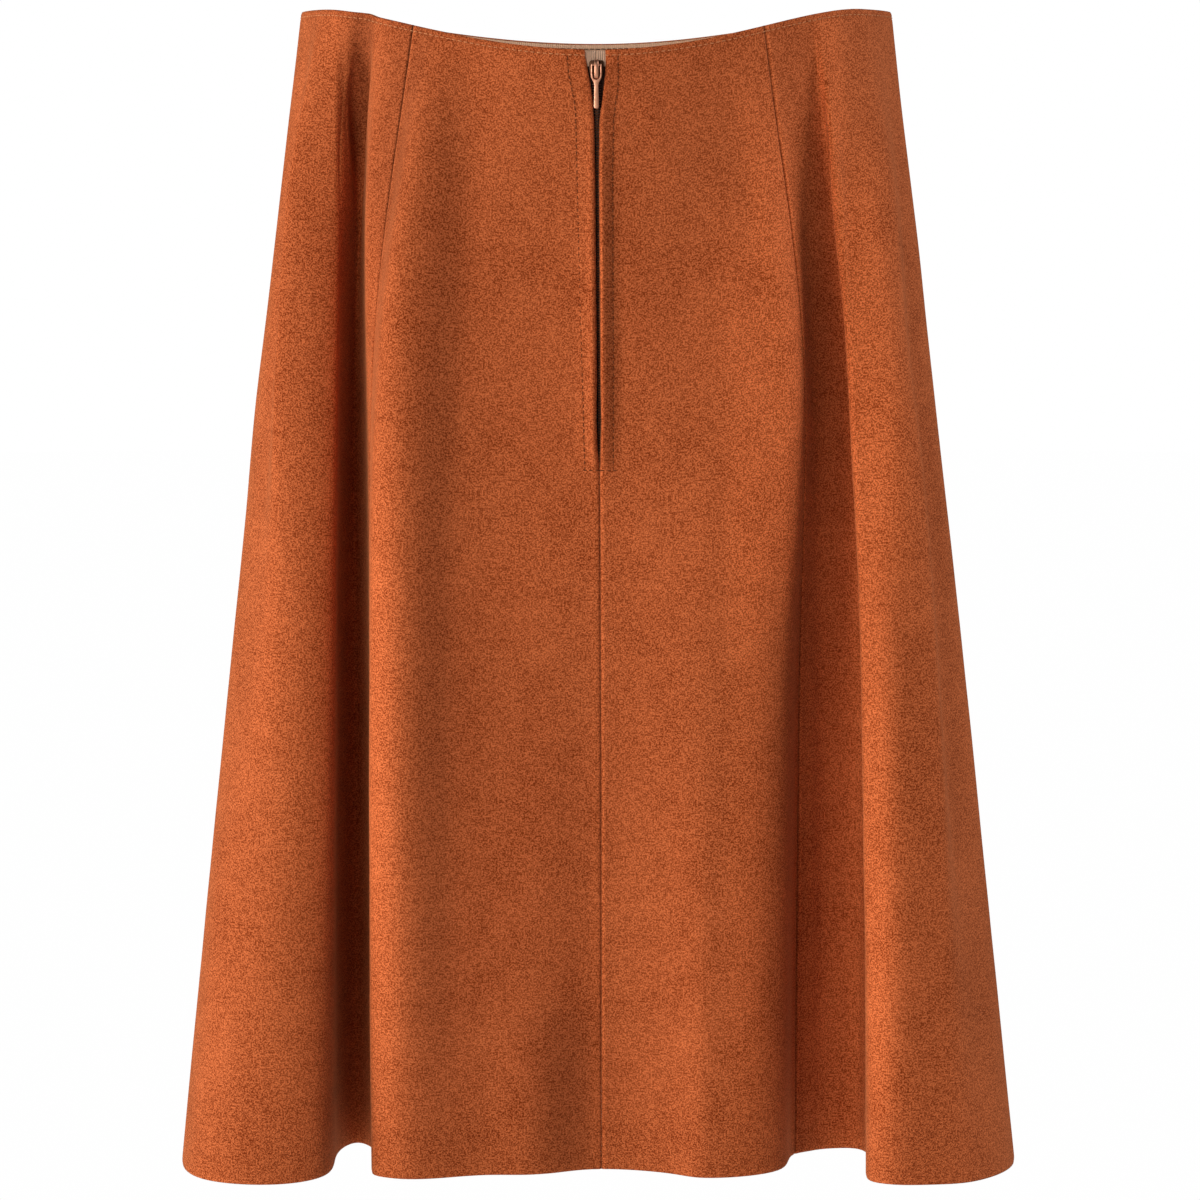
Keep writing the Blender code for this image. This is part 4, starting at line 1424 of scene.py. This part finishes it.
class SKIRT_OT_slider(bpy.types.Operator):
    """Make the slider: a body behind the edges, dark as painted shade, and the bridge that holds
    the tab
    """

    bl_idname = "skirt.slider"
    bl_label = "Zip slider"

    ROUND_STEPS = 16
    HALF_STRAP = 0.00045
    PLATES_BEHIND = (0.0011, 0.0034)

    def execute(self, context):
        scene = context.scene
        skirt = current_skirt(scene)
        copper = metal_material("copper_metal", scene.skirt_zip.metal, roughness=0.40,
                                mark_size=0.0016)
        # The body is a dark copy of the copper: painted shade in the gap round the bridge
        shaded_body_metal = metal_material("slider_body_painted_shade", (0.10, 0.045, 0.025, 1.0),
                                 roughness=0.45, mark_size=0.0012)
        place = zip_frame(skirt, SLIDER_MM)
        body_half = ((0.0030, 0.0043), (0.0036, 0.0028), (0.0034, -0.0006),
                     (0.0027, -0.0034), (0.0020, -0.0046))
        outline = smooth_outline(both_sides(body_half), (0.0012,) * 10)
        plates = []
        for behind in self.PLATES_BEHIND:
            plate = flat_plate("slider_plate", [outline], thickness=0.0009,
                               rounding=0.00025)
            plate.data.transform(Matrix.Translation((0.0, behind, 0.0)))
            plates.append(plate)
        neck_half = ((0.0004, 0.0040), (0.0004, 0.0018))
        neck = flat_plate("slider_neck", [smooth_outline(both_sides(neck_half), (0.0003,) * 4)],
                          thickness=0.0020, rounding=0.0001)
        neck.data.transform(Matrix.Translation((0.0, 0.0022, 0.0)))
        body = join_meshes("slider_body", plates + [neck], shaded_body_metal)
        body.data.transform(place)
        set_smooth(body)
        finish_piece(body, ("zip_slider",))
        bridge = self.bridge(copper)
        bridge.data.transform(place)
        finish_piece(bridge)
        return {"FINISHED"}

    def bridge(self, copper):
        """Rounded strap that arches over the tab's loop."""
        work = bmesh.new()
        rings = []
        for index, row in enumerate(BRIDGE):
            before = Vector(BRIDGE[max(index - 1, 0)][:2])
            after = Vector(BRIDGE[min(index + 1, len(BRIDGE) - 1)][:2])
            along = (after - before).normalized()
            ring = []
            for step in range(self.ROUND_STEPS):
                turn = 2.0 * pi * step / self.ROUND_STEPS
                across = row.half_width * np.sign(cos(turn)) * abs(cos(turn)) ** 0.6
                out = self.HALF_STRAP * np.sign(sin(turn)) * abs(sin(turn)) ** 0.8
                spot = (across, row.y + out * along.x, row.z - out * along.y)
                ring.append(work.verts.new(spot))
            rings.append(ring)
        for first, second in zip(rings, rings[1:]):
            for step in range(self.ROUND_STEPS):
                following = (step + 1) % self.ROUND_STEPS
                work.faces.new((first[step], first[following], second[following], second[step]))
        work.faces.new(rings[0])
        work.faces.new(rings[-1][::-1])
        bmesh.ops.recalc_face_normals(work, faces=work.faces)
        bmesh.ops.subdivide_edges(work, edges=work.edges, cuts=1, use_grid_fill=True, smooth=0.6)
        mesh = bpy.data.meshes.new("slider_bridge")
        work.to_mesh(mesh)
        work.free()
        mesh.materials.append(copper)
        bridge = add_object("slider_bridge", mesh)
        set_smooth(bridge, 50.0)
        return bridge


def join_meshes(name, things, material):
    """One object from several, with one material."""
    work = bmesh.new()
    for thing in things:
        work.from_mesh(thing.data)
        bpy.data.objects.remove(thing, do_unlink=True)
    mesh = bpy.data.meshes.new(name)
    work.to_mesh(mesh)
    work.free()
    mesh.materials.append(material)
    return add_object(name, mesh)


class SKIRT_OT_pull_tab(bpy.types.Operator):
    """Make the pull tab: a rounded loop under the bridge with a flat stem"""

    bl_idname = "skirt.pull_tab"
    bl_label = "Pull tab"

    def execute(self, context):
        copper = metal_material("copper_tab", context.scene.skirt_zip.metal,
                                roughness=0.38, mark_size=0.0016)
        half = ((0.0026, 0.00055), (0.00265, -0.0046), (0.0024, -0.0064), (0.00125, -0.0083),
                (0.00098, -0.0100), (0.00108, -0.0150), (0.00118, -0.0185), (0.00112, -0.02075))
        rounding = (0.0008, 0.002, 0.0014, 0.0011, 0.002, 0.002, 0.002, 0.0010)
        outer = smooth_outline(both_sides(half), rounding + rounding[::-1])
        hole = ((0.00185, -0.00035), (0.00190, -0.0045), (0.00135, -0.0062), (0.00040, -0.0067))
        bend = (0.0004, 0.002, 0.0008, 0.0004)
        inner = smooth_outline(both_sides(hole), bend + bend[::-1])
        tab = flat_plate("pull_tab_metal", [outer, inner], thickness=0.0011,
                         rounding=0.00042, resolution=4)
        tab.data.materials.clear()
        tab.data.materials.append(copper)
        place = zip_frame(current_skirt(context.scene), TAB_HINGE_MM)
        place.translation = PIVOT
        tab.data.transform(place)
        set_smooth(tab, 45.0)
        finish_piece(tab, ("pull_tab",), body="pull_tab")
        return {"FINISHED"}


class SKIRT_OT_bottom_stop(bpy.types.Operator):
    """Finish the stop that clamps the tapes together at the zip's end"""

    bl_idname = "skirt.bottom_stop"
    bl_label = "Bottom stop"

    def execute(self, context):
        stop = frame["nodes"]["zip_bottom_stop"]
        metal = metal_material("stop_metal", context.scene.skirt_zip.metal, roughness=0.4,
                               mark_size=0.0012)
        stop.data.materials.clear()
        stop.data.materials.append(metal)
        return {"FINISHED"}


class SKIRT_OT_stitches(bpy.types.Operator):
    """Sew the waist, the zip and its end"""

    bl_idname = "skirt.stitches"
    bl_label = "Topstitching"

    NEAR_RIM_MM = 3.0
    FROM_EDGE_MM = 1.2
    BEHIND_FACING_MM = 1.5
    ZIP_TOP_MM = 4.5
    ZIP_END_MM = 206.5
    END_ROW_MM = 207.3
    END_HALF_MM = 7.4
    END_LIFT_MM = 0.15
    WAIST_POINTS = 900
    ZIP_POINTS = 260
    END_POINTS = 24

    def execute(self, context):
        scene = context.scene
        look = scene.skirt_stitches
        skirt = current_skirt(scene)
        thread = thread_material("rust_thread", look.colour)
        # Painted shade: the stitching beside the zip and across its end takes the darkened thread
        shaded_thread = thread_material("rust_thread_painted_shade", look.shaded_colour)
        bobbin = thread_material("dark_bobbin_thread", (0.10, 0.030, 0.012, 1.0))
        inside = scene.skirt_sizes.suede_wall / MM + self.BEHIND_FACING_MM
        points, normals = self.waist_path(skirt, look, -inside)
        rows = (("waist_stitches", thread, self.waist_path(skirt, look, 0.0)),
                ("zip_stitches_left", shaded_thread, self.zip_path(skirt, -1)),
                ("zip_stitches_right", shaded_thread, self.zip_path(skirt, 1)),
                ("zip_end_stitches", shaded_thread, self.end_path(skirt)),
                ("waist_stitches_inside", bobbin, (points, -normals)))
        for name, colour, path in rows:
            row = grow(path_object(name, *path), stitch_tree, "stitch_row", Pitch=look.pitch,
                       Stitch_length=look.length, Thread_radius=look.thread, Material=colour)
            finish_piece(row)
        return {"FINISHED"}

    def waist_path(self, skirt, look, lift):
        """Path a little below the rim, from one side of the zip round to the other."""
        share = look.rim_distance / MM / LENGTH_MM
        right = zip_gap_mm(self.NEAR_RIM_MM, 1) + self.FROM_EDGE_MM
        left = zip_gap_mm(self.NEAR_RIM_MM, -1) + self.FROM_EDGE_MM
        low = skirt.beyond(0.0, right, share)
        high = skirt.beyond(float(AROUND), -left, share)
        return skirt.points(np.linspace(low, high, self.WAIST_POINTS), share, lift)

    def zip_path(self, skirt, side):
        """Path down one side of the zip, from the waist stitching to its end."""
        spots = []
        for drop in np.linspace(self.ZIP_TOP_MM, self.ZIP_END_MM, self.ZIP_POINTS):
            share = drop / LENGTH_MM
            place = skirt.beyond(0.0, side * stitch_line_mm(drop, side), share)
            spots.append(skirt.spot(place, share))
        return zip(*spots)

    def end_path(self, skirt):
        """Short row across the zip's end."""
        share = self.END_ROW_MM / LENGTH_MM
        spots = []
        for distance in np.linspace(-self.END_HALF_MM, self.END_HALF_MM, self.END_POINTS):
            place = skirt.beyond(0.0, distance, share)
            spots.append(skirt.spot(place, share, self.END_LIFT_MM))
        return zip(*spots)


class SKIRT_OT_stage(bpy.types.Operator):
    """Set the pale floor, the soft light and the camera"""

    bl_idname = "skirt.stage"
    bl_label = "Stage"

    def execute(self, context):
        scene = context.scene
        look = scene.skirt_stage
        self.floor(look)
        self.world(scene)
        for lamp in LAMPS:
            self.light(lamp)
        self.camera(scene, look)
        scene.view_settings.view_transform = "Standard"
        return {"FINISHED"}

    def floor(self, look):
        """Pale round floor."""
        mesh = bpy.data.meshes.new("floor")
        work = bmesh.new()
        bmesh.ops.create_circle(work, cap_ends=True, segments=96, radius=FLOOR_RADIUS)
        bmesh.ops.translate(work, verts=work.verts, vec=(0.0, 0.0, -look.floor_drop))
        work.to_mesh(mesh)
        work.free()
        material, tree, shader = new_material("pale_floor")
        mottle = noise_value(tree, object_map(tree), 3.0)
        shade = mix_colours(tree, mottle, dimmed(WHITE, 0.90), dimmed(WHITE, 0.93))
        tree.links.new(shade, shader.inputs["Base Color"])
        set_inputs(shader, {"Roughness": 0.9})
        glow = add_node(tree, "ShaderNodeEmission", {"Color": WHITE, "Strength": 0.995})
        self.mix_by_ray(tree, shader, glow, tree.nodes["Material Output"])
        mesh.materials.append(material)
        add_object("floor", mesh)

    def world(self, scene):
        """White surroundings that light the scene softly."""
        world = bpy.data.worlds.new("studio")
        world.use_nodes = True
        tree = world.node_tree
        soft = tree.nodes["Background"]
        set_inputs(soft, {"Color": WHITE, "Strength": 0.04})
        seen = add_node(tree, "ShaderNodeBackground", {"Color": WHITE, "Strength": 1.0})
        self.mix_by_ray(tree, soft, seen, tree.nodes["World Output"])
        scene.world = world

    def mix_by_ray(self, tree, plain, seen, output):
        """Show one shader to the camera and let the other light the scene."""
        path = add_node(tree, "ShaderNodeLightPath")
        mix = tree.nodes.new("ShaderNodeMixShader")
        tree.links.new(path.outputs["Is Camera Ray"], mix.inputs[0])
        tree.links.new(plain.outputs[0], mix.inputs[1])
        tree.links.new(seen.outputs[0], mix.inputs[2])
        tree.links.new(mix.outputs[0], output.inputs["Surface"])

    def light(self, lamp):
        """Square soft light that faces the skirt's middle."""
        turn = radians(lamp.round_deg)
        lift = radians(lamp.lift_deg)
        way = Vector((sin(turn) * cos(lift), -cos(turn) * cos(lift), sin(lift)))
        data = bpy.data.lights.new(lamp.name, "AREA")
        data.size = LAMP_SIZE
        data.energy = lamp.power
        data.color = lamp.colour
        thing = add_object(lamp.name, data)
        thing.location = VIEW_MIDDLE + way * LAMP_DISTANCE
        thing.rotation_euler = (-way).to_track_quat("-Z", "Y").to_euler()

    def camera(self, scene, look):
        """Camera behind the wearer, a little above the skirt's middle."""
        data = bpy.data.cameras.new("camera")
        data.sensor_width = 36.0
        data.lens = data.sensor_width * look.camera_distance / look.view_width
        camera = add_object("camera", data)
        angle = look.camera_height
        back = Vector((0.0, -cos(angle), sin(angle)))
        camera.location = VIEW_MIDDLE + back * look.camera_distance
        camera.rotation_euler = (-back).to_track_quat("-Z", "Y").to_euler()
        scene.camera = camera


class SKIRT_PT_sidebar(bpy.types.Panel):
    """Sizes and colours, and the steps that build the skirt"""

    bl_label = "A-line skirt"
    bl_space_type = "VIEW_3D"
    bl_region_type = "UI"
    bl_category = "Skirt"

    def draw(self, context):
        scene = context.scene
        for name, title, _ in GROUPS:
            box = self.layout.box()
            box.label(text=title)
            group = getattr(scene, name)
            for prop in group.bl_rna.properties:
                if prop.identifier not in ("rna_type", "name"):
                    box.prop(group, prop.identifier)
        for step in STEPS:
            self.layout.operator(step.bl_idname)


GROUPS = (("skirt_sizes", "Sizes", SkirtSizes), ("skirt_suede", "Suede", SuedeLook),
          ("skirt_stitches", "Stitching", StitchLook), ("skirt_zip", "Zip", ZipLook),
          ("skirt_stage", "Stage", StageLook))
STEPS = (SKIRT_OT_gores, SKIRT_OT_facings, SKIRT_OT_zip_tapes, SKIRT_OT_zip_coil,
         SKIRT_OT_slider, SKIRT_OT_pull_tab, SKIRT_OT_bottom_stop, SKIRT_OT_stitches,
         SKIRT_OT_stage)


def register():
    """Add the skirt's classes and settings."""
    for _, _, group in GROUPS:
        bpy.utils.register_class(group)
    for step in STEPS:
        bpy.utils.register_class(step)
    bpy.utils.register_class(SKIRT_PT_sidebar)
    for name, _, group in GROUPS:
        setattr(bpy.types.Scene, name, PointerProperty(type=group))


def unregister():
    """Take them away again."""
    for name, _, _ in GROUPS:
        delattr(bpy.types.Scene, name)
    bpy.utils.unregister_class(SKIRT_PT_sidebar)
    for step in reversed(STEPS):
        bpy.utils.unregister_class(step)
    for _, _, group in reversed(GROUPS):
        bpy.utils.unregister_class(group)


def main():
    """Register the classes and build the skirt, step by step."""
    register()
    bpy.ops.skirt.gores()
    bpy.ops.skirt.facings()
    bpy.ops.skirt.zip_tapes()
    bpy.ops.skirt.zip_coil()
    bpy.ops.skirt.slider()
    bpy.ops.skirt.pull_tab()
    bpy.ops.skirt.bottom_stop()
    bpy.ops.skirt.stitches()
    bpy.ops.skirt.stage()


if __name__ == "__main__":
    main()
